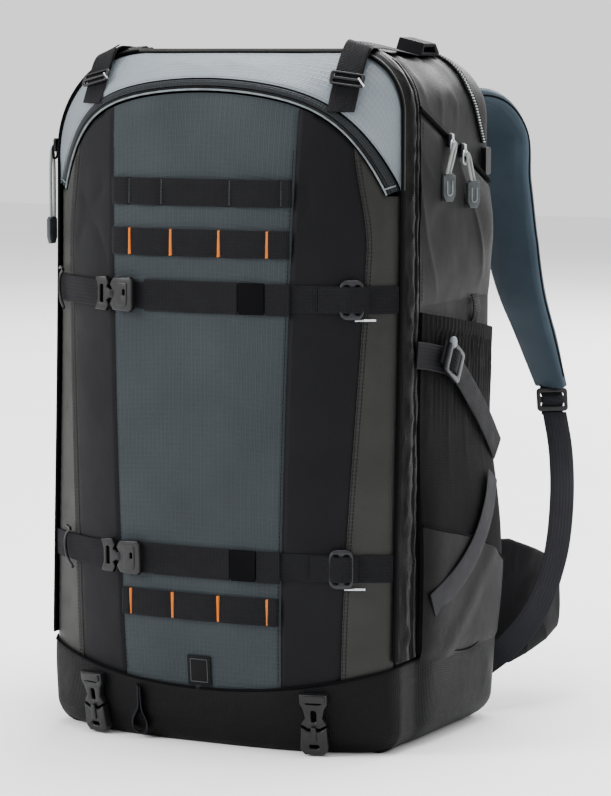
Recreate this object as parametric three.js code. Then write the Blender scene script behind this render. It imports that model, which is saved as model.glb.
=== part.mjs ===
// A large camera backpack that stands on its base, in millimetres, +Z up.
// The front lid faces -Y, the harness is on +Y, and the origin is on the floor under the middle of the base.
import * as THREE from "three";

// Driving dimensions of the padded body.
const PACK_WIDTH = 356;
const PACK_HEIGHT = 640;
const PACK_DEPTH = 218;
const BACK_Y = 122;
const FRONT_Y = BACK_Y - PACK_DEPTH;
const HALF = PACK_WIDTH / 2;
const FRONT_BULGE = 50;
const FRONT_LEAN = 9;
const WALL = 8;
const TOP_ROUND_RIGHT = 55;
const TOP_ROUND_LEFT = 92;
const BASE_CORNER = 28;
const BACK_ROUND_SIDE = 20;
const BACK_ROUND_TOP = 45;
const BACK_ROUND_BASE = 28;

// Sheets, webbing and the clearances between touching pieces.
const GAP = 0.5;
const SEAM_GAP = 0.3;
const LID_THICK = 5;
const FABRIC = 2.2;
const WEB_WIDTH = 25;
const WEB_THICK = 1.6;
const STRAP_LIFT = 0.6;
const CORNER_STEPS = 5;
const PLASTIC = 6;

// The lid and its arch.
const LID_HALF = HALF - 2;
const ARCH_DROP = 124;
const ARCH_SPRING = PACK_HEIGHT - ARCH_DROP;
const ARCH_RISE = 100;
const ARCH_ROUND = 0.38;
const ARCH_BAND = 11;
const PANEL_HALF_TOP = 97;
const PANEL_HALF_BASE = 79;

// The boot round the base.
const BOOT_ROUND = 24;
const BOOT_FRONT = 55;
const BOOT_EDGE = 80;
const BOOT_SIDE = 86;
const BOOT_TUCK = 8;
const LID_FOOT = 26;

// The sides: seams, pockets and their heights.
const GUSSET_DEPTH = 42;
const SEAM_Y = FRONT_Y + GUSSET_DEPTH;
const POCKET_REAR_Y = BACK_Y - 12;
const HEM_FRONT_Z = 403;
const HEM_REAR_Z = 378;
const HEM_THICK = 3.4;
const FLAP_FRONT_DROP = 54;
const FLAP_REAR_DROP = 126;
const REAR_ZIP_DROP = 86;
const REAR_ZIP_INSET = 56;
const REAR_ZIP_DRIFT = 30;
const POCKET_SWELL = 24;
const POCKET_BELLY = 10;
const ZIP_POCKET_SWELL = 13;

// Heights of the webbing on the front.
const UPPER_STRAP_Z = 418;
const LOWER_STRAP_Z = 174;
const LADDER_TOP_Z = 513;
const LADDER_MID_Z = 467;
const LADDER_LOW_Z = 132;

// The harness.
const PAD_THICK = 14;
const PAD_HALF = 118;
const PAD_FOOT = 165;
const PAD_DROP = 65;
const STRAP_REACH = 176;
const STRAP_PAD_WIDTH = 64;
const STRAP_PAD_THICK = 18;
const WING_HEIGHT = 124;
const WING_THICK = 15;
const WING_Z = 104;
const LUMBAR_THICK = 20;
const LUMBAR_HALF = 92;
const LUMBAR_FOOT = 42;
const LUMBAR_TOP = 154;
const BELT_WEB = 38;
const BELT_REACH = 224;
const BUCKLE_THICK = 9;

// The top tab and its strap.
const TAB_INSET = 107;
const TAB_LONG = 44;
const TAB_WIDE = 26;
const TAB_TALL = 12;

// Columns: at is a share of the pack's height, edge a share of the lean, bulge a share of the bulge.
const FRONT_TABLE = [
  { at: 0.0, edge: 0.0, bulge: 0.64 },
  { at: 0.09, edge: -0.55, bulge: 0.78 },
  { at: 0.28, edge: -0.2, bulge: 0.98 },
  { at: 0.47, edge: 0.33, bulge: 1.12 },
  { at: 0.7, edge: 0.85, bulge: 1.18 },
  { at: 0.87, edge: 1.0, bulge: 1.1 },
  { at: 0.97, edge: 1.0, bulge: 0.94 },
  { at: 1.0, edge: 1.0, bulge: 0.88 },
];

// How far the sides swell: rear is a share of the swell, belly a share of the pocket's belly.
const SIDE_TABLE = [
  { at: 0.0, rear: 0.15, belly: 0.0 },
  { at: 0.04, rear: 0.5, belly: 0.0 },
  { at: 0.13, rear: 0.72, belly: 0.0 },
  { at: 0.2, rear: 0.97, belly: 0.1 },
  { at: 0.27, rear: 1.0, belly: 0.2 },
  { at: 0.34, rear: 0.75, belly: 0.4 },
  { at: 0.42, rear: 0.3, belly: 0.65 },
  { at: 0.5, rear: 0.08, belly: 0.8 },
  { at: 0.63, rear: 0.2, belly: 1.0 },
];

// The harness, right side, as shares of the half width, of the reach and of the pack's height.
const STRAP_TABLE = [
  { across: 0.337, behind: 0.0, up: 0.8 },
  { across: 0.354, behind: 0.032, up: 0.859 },
  { across: 0.427, behind: 0.221, up: 0.9125 },
  { across: 0.534, behind: 0.455, up: 0.933 },
  { across: 0.624, behind: 0.649, up: 0.92 },
  { across: 0.691, behind: 0.766, up: 0.878 },
  { across: 0.736, behind: 0.766, up: 0.797 },
  { across: 0.787, behind: 0.753, up: 0.703 },
  { across: 0.837, behind: 0.792, up: 0.625 },
  { across: 0.893, behind: 0.89, up: 0.555 },
  { across: 0.949, behind: 1.0, up: 0.475 },
];
const WEBBING_TABLE = [
  { across: 1.034, behind: 0.935, up: 0.375, turn: 0.75, drop: 0 },
  { across: 1.129, behind: 0.688, up: 0.297, turn: 0.75, drop: 0 },
  { across: 1.18, behind: 0.416, up: 0.2156, turn: 0.75, drop: 0 },
  { across: 1.157, behind: 0.143, up: 0.144, turn: 0.64, drop: 0.45 },
  { across: 1.067, behind: -0.026, up: 0.1, turn: 0.4, drop: 0.67 },
];
const WING_TABLE = [
  { across: 0.73, behind: 0.0625, rise: 0 },
  { across: 0.899, behind: 0.143, rise: -1 },
  { across: 1.011, behind: 0.268, rise: -2 },
  { across: 1.067, behind: 0.4375, rise: -4 },
  { across: 1.056, behind: 0.625, rise: -8 },
];
const BELT_TABLE = [
  { across: 0.955, behind: 0.8125, rise: -10 },
  { across: 0.685, behind: 0.946, rise: -11 },
  { across: 0.393, behind: 0.991, rise: -12 },
  { across: 0.191, behind: 1.0, rise: -12 },
];

// Webbing on the sides. along is a share of the way from the seam to the pocket's rear edge.
const SIDE_STRAP = [
  { along: -0.098, below: 37 },
  { along: 0.061, below: 41 },
  { along: 0.28, below: 51 },
  { along: 0.512, below: 78 },
  { along: 0.756, below: 111 },
  { along: 0.963, below: 141 },
];
const LOWER_STRAP = [
  { along: 0.805, above: 154 },
  { along: 0.695, above: 126 },
  { along: 0.524, above: 94 },
  { along: 0.305, above: 68 },
  { along: 0.049, above: 46 },
];

const COLOURS = {
  side: 0x4b4b4a,
  ripstop: 0x4a4f54,
  black: 0x29292d,
  olive: 0x474745,
  yoke: 0x7d8286,
  boot: 0x242427,
  webbing: 0x1c1c20,
  plastic: 0x36363a,
  mesh: 0x1d1d21,
  pad: 0x3e4c56,
  harness: 0x222226,
  cord: 0x9a9a98,
  metal: 0xb8bcc0,
};

const root = new THREE.Group();

function material(colour, roughness = 0.85, metalness = 0) {
  return new THREE.MeshStandardMaterial({ color: COLOURS[colour], roughness, metalness });
}

function vec(x, y, z) {
  return new THREE.Vector3(x, y, z);
}

function lerp(a, b, share) {
  return a + (b - a) * share;
}

function clamp(value, low, high) {
  return Math.min(high, Math.max(low, value));
}

function shares(count) {
  return Array.from({ length: count + 1 }, (_, i) => i / count);
}

// A smooth curve through one column of a table.
function tableAt(rows, column, at) {
  const last = rows.length - 1;
  let k = 0;
  while (k < last - 1 && at > rows[k + 1].at) k += 1;
  const slope = (i) => {
    const before = rows[Math.max(i - 1, 0)];
    const after = rows[Math.min(i + 1, last)];
    return (after[column] - before[column]) / (after.at - before.at);
  };
  const span = rows[k + 1].at - rows[k].at;
  const t = clamp((at - rows[k].at) / span, 0, 1);
  const a = rows[k][column];
  const b = rows[k + 1][column];
  const ease = t * t * (3 - 2 * t);
  const leave = t * (1 - t) * (1 - t) * span * slope(k);
  const arrive = t * t * (t - 1) * span * slope(k + 1);
  return lerp(a, b, ease) + leave + arrive;
}

// Six times the volume that a triangle spans with the origin.
function spanned(a, b, c) {
  return a.dot(b.clone().cross(c));
}

// One named mesh from points and triangles, turned so that its faces point out.
function addSolid(name, points, faces, look) {
  let volume = 0;
  for (const [a, b, c] of faces) volume += spanned(points[a], points[b], points[c]);
  const index = faces.flatMap(([a, b, c]) => (volume < 0 ? [a, c, b] : [a, b, c]));
  const geometry = new THREE.BufferGeometry();
  geometry.setAttribute("position", new THREE.Float32BufferAttribute(points.flatMap((p) => p.toArray()), 3));
  geometry.setIndex(index);
  geometry.computeVertexNormals();
  const mesh = new THREE.Mesh(geometry, look);
  mesh.name = name;
  root.add(mesh);
  return mesh;
}

// A solid through a row of rings. Its ends close as a fan round their middle, or as a strip.
function loft(name, rings, look, cap = "fan") {
  const count = rings[0].length;
  const points = rings.flat();
  const faces = [];
  for (let i = 0; i < rings.length - 1; i += 1) {
    for (let k = 0; k < count; k += 1) {
      const a = i * count + k;
      const b = i * count + ((k + 1) % count);
      faces.push([a, b, a + count], [b, b + count, a + count]);
    }
  }
  const end = (rings.length - 1) * count;
  if (cap === "strip") {
    for (let k = 0; k < count / 2 - 1; k += 1) {
      const far = count - 1 - k;
      faces.push([k + 1, k, far], [k + 1, far, far - 1]);
      faces.push([end + k, end + k + 1, end + far], [end + k + 1, end + far - 1, end + far]);
    }
  } else {
    for (const [start, ring, turn] of [[0, rings[0], true], [end, rings[rings.length - 1], false]]) {
      const middle = ring.reduce((sum, p) => sum.add(p), vec(0, 0, 0)).divideScalar(count);
      points.push(middle);
      for (let k = 0; k < count; k += 1) {
        const a = start + k;
        const b = start + ((k + 1) % count);
        faces.push(turn ? [b, a, points.length - 1] : [a, b, points.length - 1]);
      }
    }
  }
  return addSolid(name, points, faces, look);
}

// A sheet that lies on a surface: place(u, v, out) is a point that stands out from it by out.
function patch(name, us, vs, place, near, far, look) {
  const depth = (limit, u, v) => (typeof limit === "function" ? limit(u, v) : limit);
  const rings = us.map((u) => [
    ...vs.map((v) => place(u, v, depth(far, u, v))),
    ...[...vs].reverse().map((v) => place(u, v, depth(near, u, v))),
  ]);
  return loft(name, rings, look, "strip");
}

// The front surface, which bulges between the lid's side edges.
function edgeY(z) {
  return FRONT_Y + FRONT_LEAN * tableAt(FRONT_TABLE, "edge", z / PACK_HEIGHT);
}

function frontY(x, z) {
  const fall = Math.min(1, Math.abs(x / LID_HALF)) ** 3;
  return edgeY(z) - FRONT_BULGE * tableAt(FRONT_TABLE, "bulge", z / PACK_HEIGHT) * (1 - fall);
}

function frontPoint(x, z, out) {
  return vec(x, frontY(x, z) - out, z);
}

// How far a rounded edge has drawn in, at a depth below where it starts.
function drawIn(radius, depth) {
  if (depth >= radius) return 0;
  return radius - Math.sqrt(radius ** 2 - (radius - depth) ** 2);
}

// The arch at a share of its width from the left, and a distance out from its outer edge.
function archPoint(share, out) {
  const u = -Math.cos(Math.PI * share);
  const height = 1 - ARCH_ROUND * u ** 2 - (1 - ARCH_ROUND) * u ** 6;
  const slope = (-ARCH_RISE / LID_HALF) * (2 * ARCH_ROUND * u + 6 * (1 - ARCH_ROUND) * u ** 5);
  const reach = out / Math.hypot(slope, 1);
  return { x: LID_HALF * u - slope * reach, z: ARCH_SPRING + ARCH_RISE * height + reach };
}

// The arch's height over a place across, for the same distance out.
function archZ(x, out) {
  let low = 0.5;
  let high = 1;
  for (let pass = 0; pass < 24; pass += 1) {
    const middle = (low + high) / 2;
    if (archPoint(middle, out).x < Math.abs(x)) low = middle;
    else high = middle;
  }
  return archPoint(low, out).z;
}

function topRound(side) {
  return side > 0 ? TOP_ROUND_RIGHT : TOP_ROUND_LEFT;
}

// How far the rim has drawn in at a height, where it turns over the top corner.
function cornerIn(side, z) {
  return drawIn(topRound(side), PACK_HEIGHT - z);
}

// The rim's height over a place across.
function rimTop(x) {
  return PACK_HEIGHT - drawIn(topRound(x), HALF - Math.abs(x));
}

// Points of the front-view outline in order, with the direction that leaves the pack.
function outline(inset, sides = 8, tops = 8) {
  const half = HALF - inset.side;
  const top = PACK_HEIGHT - inset.top;
  const base = FABRIC + 2 * GAP + inset.base;
  const roundAt = (side) => Math.max(6, topRound(side) - (inset.side + inset.top) / 2);
  const baseRound = Math.max(6, BASE_CORNER - (inset.side + inset.base) / 2);
  const corner = (side, radius, level, from) =>
    shares(CORNER_STEPS).map((share) => {
      const angle = ((from + share * 90) * Math.PI) / 180;
      return {
        x: side * (half - radius) + radius * Math.cos(angle),
        z: level + radius * Math.sin(angle),
      };
    });
  const between = (a, b, count) =>
    shares(count).slice(1, -1).map((s) => ({ x: lerp(a.x, b.x, s), z: lerp(a.z, b.z, s) }));
  const lowRight = corner(1, baseRound, base + baseRound, -90);
  const highRight = corner(1, roundAt(1), top - roundAt(1), 0);
  const highLeft = corner(-1, roundAt(-1), top - roundAt(-1), 90);
  const lowLeft = corner(-1, baseRound, base + baseRound, 180);
  return [
    ...lowRight,
    ...between(lowRight.at(-1), highRight[0], sides),
    ...highRight,
    ...between(highRight.at(-1), highLeft[0], tops),
    ...highLeft,
    ...between(highLeft.at(-1), lowLeft[0], sides),
    ...lowLeft,
    ...between(lowLeft.at(-1), lowRight[0], tops),
  ];
}

// The padded body: a cup that opens to the front, under the lid.
function addShell() {
  const rimY = (p) => (p.z < LID_FOOT ? frontY(p.x, p.z) + BOOT_TUCK : edgeY(p.z)) + LID_THICK + GAP;
  const ring = (inset, y) => outline(inset).map((p) => vec(p.x, typeof y === "function" ? y(p) : y, p.z));
  const insetAt = (depth, wall) => ({
    side: wall + drawIn(BACK_ROUND_SIDE - wall, depth),
    top: wall + drawIn(BACK_ROUND_TOP - wall, depth),
    base: wall + drawIn(BACK_ROUND_BASE - wall, depth),
  });
  const depths = [0, 2, 7, 15, 27, 45];
  const flat = { side: 0, top: 0, base: 0 };
  const outside = depths.map((d) => ring(insetAt(d, 0), BACK_Y - d));
  const inside = depths.map((d) => ring(insetAt(d, WALL), BACK_Y - WALL - d));
  const rim = outline(flat).map(rimY);
  const lip = (wall) =>
    outline({ side: wall, top: wall, base: wall }).map((p, i) => vec(p.x, rim[i], p.z));
  loft("main_shell", [...outside, lip(0), lip(WALL), ...inside.reverse()], material("side"));
}

// The ripstop panel's half width at a height.
function panelHalf(z) {
  return lerp(PANEL_HALF_BASE, PANEL_HALF_TOP, z / PACK_HEIGHT);
}

// The lid's foot is inside the boot, and its top follows the arch.
function lidTop(x) {
  return Math.max(ARCH_SPRING - ARCH_BAND / 2, archZ(x, -ARCH_BAND - 2 * GAP)) - 2 * GAP;
}

// A panel of the lid. acrossAt gives x for a column's share at a height.
function addLidPanel(name, colour, columns, acrossAt) {
  const rows = [0, 0.04, 0.12, 0.25, 0.4, 0.55, 0.7, 0.82, 0.91, 0.97, 1];
  const place = (row, column, out) => {
    let z = row * ARCH_SPRING;
    let x = 0;
    for (let pass = 0; pass < 4; pass += 1) {
      x = acrossAt(column, z);
      z = lerp(LID_FOOT, lidTop(x), row);
    }
    return frontPoint(x, z, out);
  };
  patch(name, rows, columns, place, -LID_THICK, 0, material(colour));
}

function addLid() {
  const middle = shares(8).map((s) => s * 2 - 1);
  addLidPanel("lid_centre", "ripstop", middle, (c, z) => c * (panelHalf(z) - SEAM_GAP / 2));
  const outer = [0, 0.2, 0.38, 0.54, 0.66, 0.78, 0.86, 0.93, 1];
  for (const [name, side] of [["lid_right", 1], ["lid_left", -1]]) {
    addLidPanel(name, "black", outer, (c, z) => side * lerp(panelHalf(z) + SEAM_GAP / 2, LID_HALF, c));
  }
}

// The zip band that follows the arch, set a little below the lid's face.
function addArchBand() {
  const place = (share, across, out) => {
    const { x, z } = archPoint(share, across);
    return frontPoint(x, z, out);
  };
  const across = [-ARCH_BAND + SEAM_GAP, -ARCH_BAND / 2, -2 * SEAM_GAP];
  const along = shares(24).map((s) => (1 - Math.cos(Math.PI * s)) / 2);
  patch("arch_zip_band", along, across, place, -FABRIC - GAP, -GAP, material("black"));
}

// Stations of the pack's rim on one side, from a height up and round the top corner.
function rimSide(side, fromZ, steps, corners) {
  const radius = topRound(side);
  const level = PACK_HEIGHT - radius;
  const inner = HALF - radius;
  const straight = shares(steps).slice(0, -1)
    .map((s) => ({ x: side * HALF, z: lerp(fromZ, level, s), angle: 0 }));
  const turn = shares(corners).map((s) => (s * Math.PI) / 2);
  const round = turn.map((angle) => ({
    x: side * (inner + radius * Math.cos(angle)),
    z: level + radius * Math.sin(angle),
    angle,
  }));
  return [...straight, ...round].map((p) => ({ ...p, angle: side > 0 ? p.angle : Math.PI - p.angle }));
}

// The same from the left side, over the top and down the right side.
function rimOver(fromZ, steps, corners, tops) {
  const from = HALF - TOP_ROUND_LEFT;
  const to = HALF - TOP_ROUND_RIGHT;
  const middle = shares(tops).slice(1, -1)
    .map((s) => ({ x: lerp(-from, to, s), z: PACK_HEIGHT, angle: Math.PI / 2 }));
  return [...rimSide(-1, fromZ, steps, corners), ...middle, ...rimSide(1, fromZ, steps, corners).reverse()];
}

function rimPoint(station, y, out) {
  return vec(station.x + out * Math.cos(station.angle), y, station.z + out * Math.sin(station.angle));
}

// The pale yoke between the arch and the rim, over the top of the lid.
function addYoke() {
  const stations = rimOver(ARCH_SPRING, 4, CORNER_STEPS, 9);
  const lengths = [0];
  stations.slice(1).forEach((p, i) => {
    lengths.push(lengths[i] + Math.hypot(p.x - stations[i].x, p.z - stations[i].z));
  });
  const total = lengths[lengths.length - 1];
  const swell = 3;
  const place = (k, across, out) => {
    const share = lengths[k] / total;
    const arch = archPoint(share, 2 * SEAM_GAP);
    const start = frontPoint(arch.x, arch.z, 0);
    const end = rimPoint(stations[k], edgeY(stations[k].z), -SEAM_GAP);
    const angle = Math.PI * (1 - share);
    const lean = vec(0.5 * Math.cos(angle), -0.6, 0.8 * Math.sin(angle)).normalize();
    const normal = vec(0, -1, 0).lerp(lean, across).normalize();
    const rise = swell * Math.sin(Math.PI * across) * Math.sin(Math.PI * share);
    return start.lerp(end, across).addScaledVector(normal, rise + out);
  };
  const across = [0, 0.33, 0.67, 1];
  patch("top_yoke", stations.map((_, k) => k), across, place, -3, 0, material("yoke"));
}

// How far the side swells out at a place, over the padded wall.
function sideSwell(y, z) {
  const middle = (SEAM_Y + POCKET_REAR_Y) / 2;
  const u = clamp((y - middle) / ((POCKET_REAR_Y - SEAM_Y) / 2 + 4), -1, 1);
  const at = z / PACK_HEIGHT;
  const rear = POCKET_SWELL * tableAt(SIDE_TABLE, "rear", at) * lerp(0.45, 1, (u + 1) / 2);
  const belly = POCKET_BELLY * tableAt(SIDE_TABLE, "belly", at);
  return rear * (1 - u ** 8) + belly * (1 - u * u);
}

function sidePoint(side, y, z, out) {
  const x = HALF - drawIn(BACK_ROUND_SIDE, BACK_Y - y) - cornerIn(side, z) + out;
  return vec(side * x, y, z);
}

// Plan outline of the boot, from the front's middle round to the back, as named places.
function bootPlan() {
  const front = [0, 0.2, 0.4, 0.55, 0.68, 0.79, 0.88, 0.95, 1]
    .map((s) => ({ part: "front", x: s * LID_HALF }));
  const side = [-0.97, -0.8, -0.5, -0.1, 0.3, 0.7, 1].map((s) => ({
    part: "side",
    y: lerp(0, s < 0 ? -FRONT_Y : BACK_Y - BACK_ROUND_SIDE, s),
  }));
  const corner = [0.25, 0.5, 0.75, 1].map((s) => ({ part: "corner", angle: (s * Math.PI) / 2 }));
  const back = [0.66, 0.33].map((s) => ({ part: "back", x: s * (HALF - BACK_ROUND_SIDE) }));
  const right = [...front, ...side, ...corner, ...back];
  const mirror = right.slice(1).reverse().map((p) => ({ ...p, left: true }));
  return [...right, { part: "back", x: 0 }, ...mirror];
}

// A point of the boot: out leaves its inner face, and drawn is how far the bottom edge has drawn in.
function bootPoint(place, z, out, drawn) {
  const side = place.left ? -1 : 1;
  const round = BACK_ROUND_SIDE;
  if (place.part === "front") {
    const x = Math.abs(place.x) - drawn * (Math.abs(place.x) / LID_HALF) ** 2;
    return vec(side * x, frontY(place.x, z) - out - SEAM_GAP + drawn * 0.4, z);
  }
  if (place.part === "side") {
    const swell = sideSwell(place.y, z);
    return vec(side * (HALF + out + swell - drawn), place.y, z);
  }
  if (place.part === "corner") {
    const reach = round + out - drawn;
    const x = HALF - round + reach * Math.cos(place.angle);
    return vec(side * x, BACK_Y - round + reach * Math.sin(place.angle), z);
  }
  return vec(side * place.x, BACK_Y + out - drawn, z);
}

// Height of the boot's top edge: a smile on the front, nearly level on the sides.
function bootTop(place) {
  if (place.part === "front") return lerp(BOOT_FRONT, BOOT_EDGE, (place.x / LID_HALF) ** 2);
  return place.part === "side" && place.y < SEAM_Y ? BOOT_EDGE + 2 : BOOT_SIDE;
}

// The boot: a fabric cup round the foot of the pack, flat underneath.
function addBoot() {
  const plan = bootPlan();
  const round = (radius, degrees, out) => {
    const angle = (degrees * Math.PI) / 180;
    const z = BOOT_ROUND - radius * Math.sin(angle);
    const drawn = radius * (1 - Math.cos(angle));
    return plan.map((p) => bootPoint(p, z, out, drawn));
  };
  const wall = (share, out) =>
    plan.map((p) => bootPoint(p, lerp(BOOT_ROUND, bootTop(p), share), out, 0));
  const angles = [90, 68, 45, 22];
  const outer = GAP + FABRIC;
  const flank = [0, 0.5, 1].map((s) => wall(s, outer));
  const outside = [...angles.map((a) => round(BOOT_ROUND, a, outer)), ...flank];
  const inside = [
    ...angles.map((a) => round(BOOT_ROUND - FABRIC, a, GAP)),
    ...[0, 0.5, 1].map((s) => wall(s, GAP)),
  ];
  loft("base_boot", [...outside, ...inside.reverse()], material("boot"));
}

// The gusset that wraps from the lid's edge back to the side seam and over the top corner.
function addGussets() {
  const puff = 3;
  const across = [0, 0.2, 0.5, 0.8, 1];
  for (const [name, side] of [["gusset_right", 1], ["gusset_left", -1]]) {
    const stations = rimSide(side, BOOT_SIDE + 1, 8, CORNER_STEPS).slice(0, -1);
    const place = (k, v, out) => {
      const station = stations[k];
      const y = lerp(edgeY(station.z), SEAM_Y - SEAM_GAP, v);
      return rimPoint(station, y, GAP + out + puff * Math.sin(Math.PI * v));
    };
    patch(name, stations.map((_, k) => k), across, place, 0, FABRIC, material("olive"));
  }
}

// The zip round the rear of the top, which drifts back as it comes down each side.
function addRearZip() {
  const endZ = PACK_HEIGHT - REAR_ZIP_DROP;
  const zipWidth = 10;
  const stations = rimOver(endZ, 2, CORNER_STEPS, 4);
  const topY = BACK_Y - REAR_ZIP_INSET;
  const drift = (z) => topY + REAR_ZIP_DRIFT * (1 - clamp((z - endZ) / (REAR_ZIP_DROP * 0.6), 0, 1));
  const place = (k, v, out) => rimPoint(stations[k], drift(stations[k].z) + v * (zipWidth / 2), out);
  patch("rear_zip", stations.map((_, k) => k), [-1, 1], place, GAP, GAP + FABRIC, material("webbing"));
}

// The stretch pocket with its gathered hem, and the zipped pocket above it.
function addSidePockets() {
  const ys = [...shares(8).map((s) => lerp(SEAM_Y, BACK_Y - BACK_ROUND_SIDE, s)), POCKET_REAR_Y];
  const hem = (y) => lerp(HEM_FRONT_Z, HEM_REAR_Z, (y - SEAM_Y) / (POCKET_REAR_Y - SEAM_Y));
  const flapDrop = (y) => lerp(FLAP_FRONT_DROP, FLAP_REAR_DROP, (y - SEAM_Y) / (POCKET_REAR_Y - SEAM_Y));
  const low = [0, 0.18, 0.36, 0.54, 0.75, 0.94, 1];
  const high = [0, 0.35, 0.65, 0.82, 0.92, 1];
  for (const [suffix, side] of [["right", 1], ["left", -1]]) {
    const pocket = (v, y, out) => {
      const z = lerp(BOOT_SIDE + GAP, hem(y), v);
      return sidePoint(side, y, z, GAP + sideSwell(y, z) + out);
    };
    const thick = (v) => (v > 0.9 ? HEM_THICK : FABRIC);
    patch("side_pocket_" + suffix, low, ys, pocket, 0, thick, material("mesh"));
    const zipped = (v, y, out) => {
      const share = (y - SEAM_Y) / (POCKET_REAR_Y - SEAM_Y);
      const z = lerp(HEM_FRONT_Z + 6, PACK_HEIGHT - flapDrop(y), v);
      const fall = 1 - Math.abs(2 * share - 1) ** 6;
      const swell = ZIP_POCKET_SWELL * Math.sin(Math.PI * v) ** 0.7 * lerp(0.2, 1, share) * fall;
      return sidePoint(side, y, z, GAP + swell + out);
    };
    patch("zip_pocket_" + suffix, high, ys, zipped, 0, FABRIC, material("side"));
  }
}

// Webbing across the front, held between two heights.
function addFrontWebbing(name, fromX, toX, z, height, near, far, steps) {
  const xs = shares(steps).map((s) => lerp(fromX, toX, s));
  const place = (x, v, out) => frontPoint(x, z + v * height, out);
  patch(name, xs, [-0.5, 0.5], place, near, far, material("webbing"));
}

// A ladder strip is stitched down at its tacks and stands a little proud between them.
function addLadder(name, z, half, tacks) {
  const lift = 1.6;
  const stops = [-half, ...tacks, half];
  const xs = [];
  stops.slice(1).forEach((x, i) => {
    xs.push(stops[i], lerp(stops[i], x, 0.25), lerp(stops[i], x, 0.5), lerp(stops[i], x, 0.75));
  });
  xs.push(half);
  const raised = (x) => (stops.includes(x) ? 0 : lift);
  const place = (x, v, out) => frontPoint(x, z + v * WEB_WIDTH, out);
  const near = (x) => STRAP_LIFT + raised(x);
  patch(name, xs, [-0.5, 0.5], place, near, (x) => near(x) + WEB_THICK, material("webbing"));
}

function addFrontStraps() {
  addLadder("ladder_top", LADDER_TOP_Z, PANEL_HALF_TOP - 5, [-71, -36, 34, 83]);
  addLadder("ladder_mid", LADDER_MID_Z, PANEL_HALF_TOP - 6, [-70, -25.5, 24, 71]);
  addLadder("ladder_low", LADDER_LOW_Z, PANEL_HALF_BASE + 2, [-71, -25.5, 22, 71]);
  for (const [name, z] of [["front_strap_upper", UPPER_STRAP_Z], ["front_strap_lower", LOWER_STRAP_Z]]) {
    addFrontWebbing(name, -LID_HALF, LID_HALF, z, WEB_WIDTH, STRAP_LIFT, STRAP_LIFT + WEB_THICK, 24);
  }
}

// A rectangle with round corners, centred on the origin.
function roundedRect(width, height, radius) {
  const corners = [[1, -1, -90], [1, 1, 0], [-1, 1, 90], [-1, -1, 180]];
  const points = corners.flatMap(([sx, sy, from]) =>
    shares(3).map((share) => {
      const angle = ((from + share * 90) * Math.PI) / 180;
      const x = sx * (width / 2 - radius) + radius * Math.cos(angle);
      return new THREE.Vector2(x, sy * (height / 2 - radius) + radius * Math.sin(angle));
    }),
  );
  return new THREE.Shape(points);
}

function slot(x, y, width, height) {
  const hole = new THREE.Path();
  hole.moveTo(x - width / 2, y - height / 2);
  hole.lineTo(x + width / 2, y - height / 2);
  hole.lineTo(x + width / 2, y + height / 2);
  hole.lineTo(x - width / 2, y + height / 2);
  hole.closePath();
  return hole;
}

// A flat plate with slots. across and up are its directions, and it rises along their cross product.
function addPlate(name, shape, holes, thick, at, across, up, colour) {
  shape.holes.push(...holes);
  const geometry = new THREE.ExtrudeGeometry(shape, { depth: thick, bevelEnabled: false, curveSegments: 3 });
  const mesh = new THREE.Mesh(geometry, material(colour, 0.5));
  const x = across.clone().normalize();
  const z = x.clone().cross(up).normalize();
  const y = z.clone().cross(x);
  mesh.setRotationFromMatrix(new THREE.Matrix4().makeBasis(x, y, z));
  mesh.position.copy(at);
  mesh.name = name;
  root.add(mesh);
  return mesh;
}

// A plate on the front surface, level, standing out from it by lift at its middle.
function addFrontPlate(name, x, z, lift, shape, holes, thick, colour = "plastic") {
  const run = 1;
  const across = frontPoint(x + run, z, 0).sub(frontPoint(x - run, z, 0)).normalize();
  const up = frontPoint(x, z + run, 0).sub(frontPoint(x, z - run, 0)).normalize();
  const out = across.clone().cross(up).normalize();
  const at = frontPoint(x, z, 0).addScaledVector(out, lift);
  return addPlate(name, shape, holes, thick, at, across, up, colour);
}

function addFrontHardware() {
  const onStrap = STRAP_LIFT + WEB_THICK + GAP;
  const buckle = () => roundedRect(46, 34, 5);
  const glide = () => roundedRect(22, 36, 4);
  const glideSlots = () => [slot(-5, 0, 5, 27), slot(5, 0, 5, 25)];
  addFrontPlate("front_buckle_upper", -84, UPPER_STRAP_Z, onStrap, buckle(), [slot(14, 0, 5, 22)], PLASTIC);
  addFrontPlate("front_buckle_lower", -78, LOWER_STRAP_Z, onStrap, buckle(), [slot(14, 0, 5, 22)], PLASTIC);
  addFrontPlate("triglide_upper", 142, UPPER_STRAP_Z, onStrap - 0.3, glide(), glideSlots(), 4);
  addFrontPlate("triglide_lower", 136, LOWER_STRAP_Z, onStrap - 0.3, glide(), glideSlots(), 4);
}

// Buckles, loop and tag at the foot of the front. They stand clear of the floor.
function addFootHardware() {
  const onBoot = GAP + FABRIC + GAP;
  const height = 58;
  const z = 3 + height / 2;
  const side = () => roundedRect(28, height, 4);
  addFrontPlate("base_buckle_left", -114, z, onBoot, side(), [slot(0, -20, 16, 6)], 9);
  addFrontPlate("base_buckle_right", 112, z, onBoot, side(), [slot(0, -20, 16, 6)], 9);
  addFrontPlate("base_loop", -67, 28, onBoot, roundedRect(24, 50, 3), [slot(0, -18, 12, 6)], 3, "webbing");
  addFrontPlate("label_tag", 0, 72, GAP, roundedRect(24, 28, 1), [], 1.5, "black");
}

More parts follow.
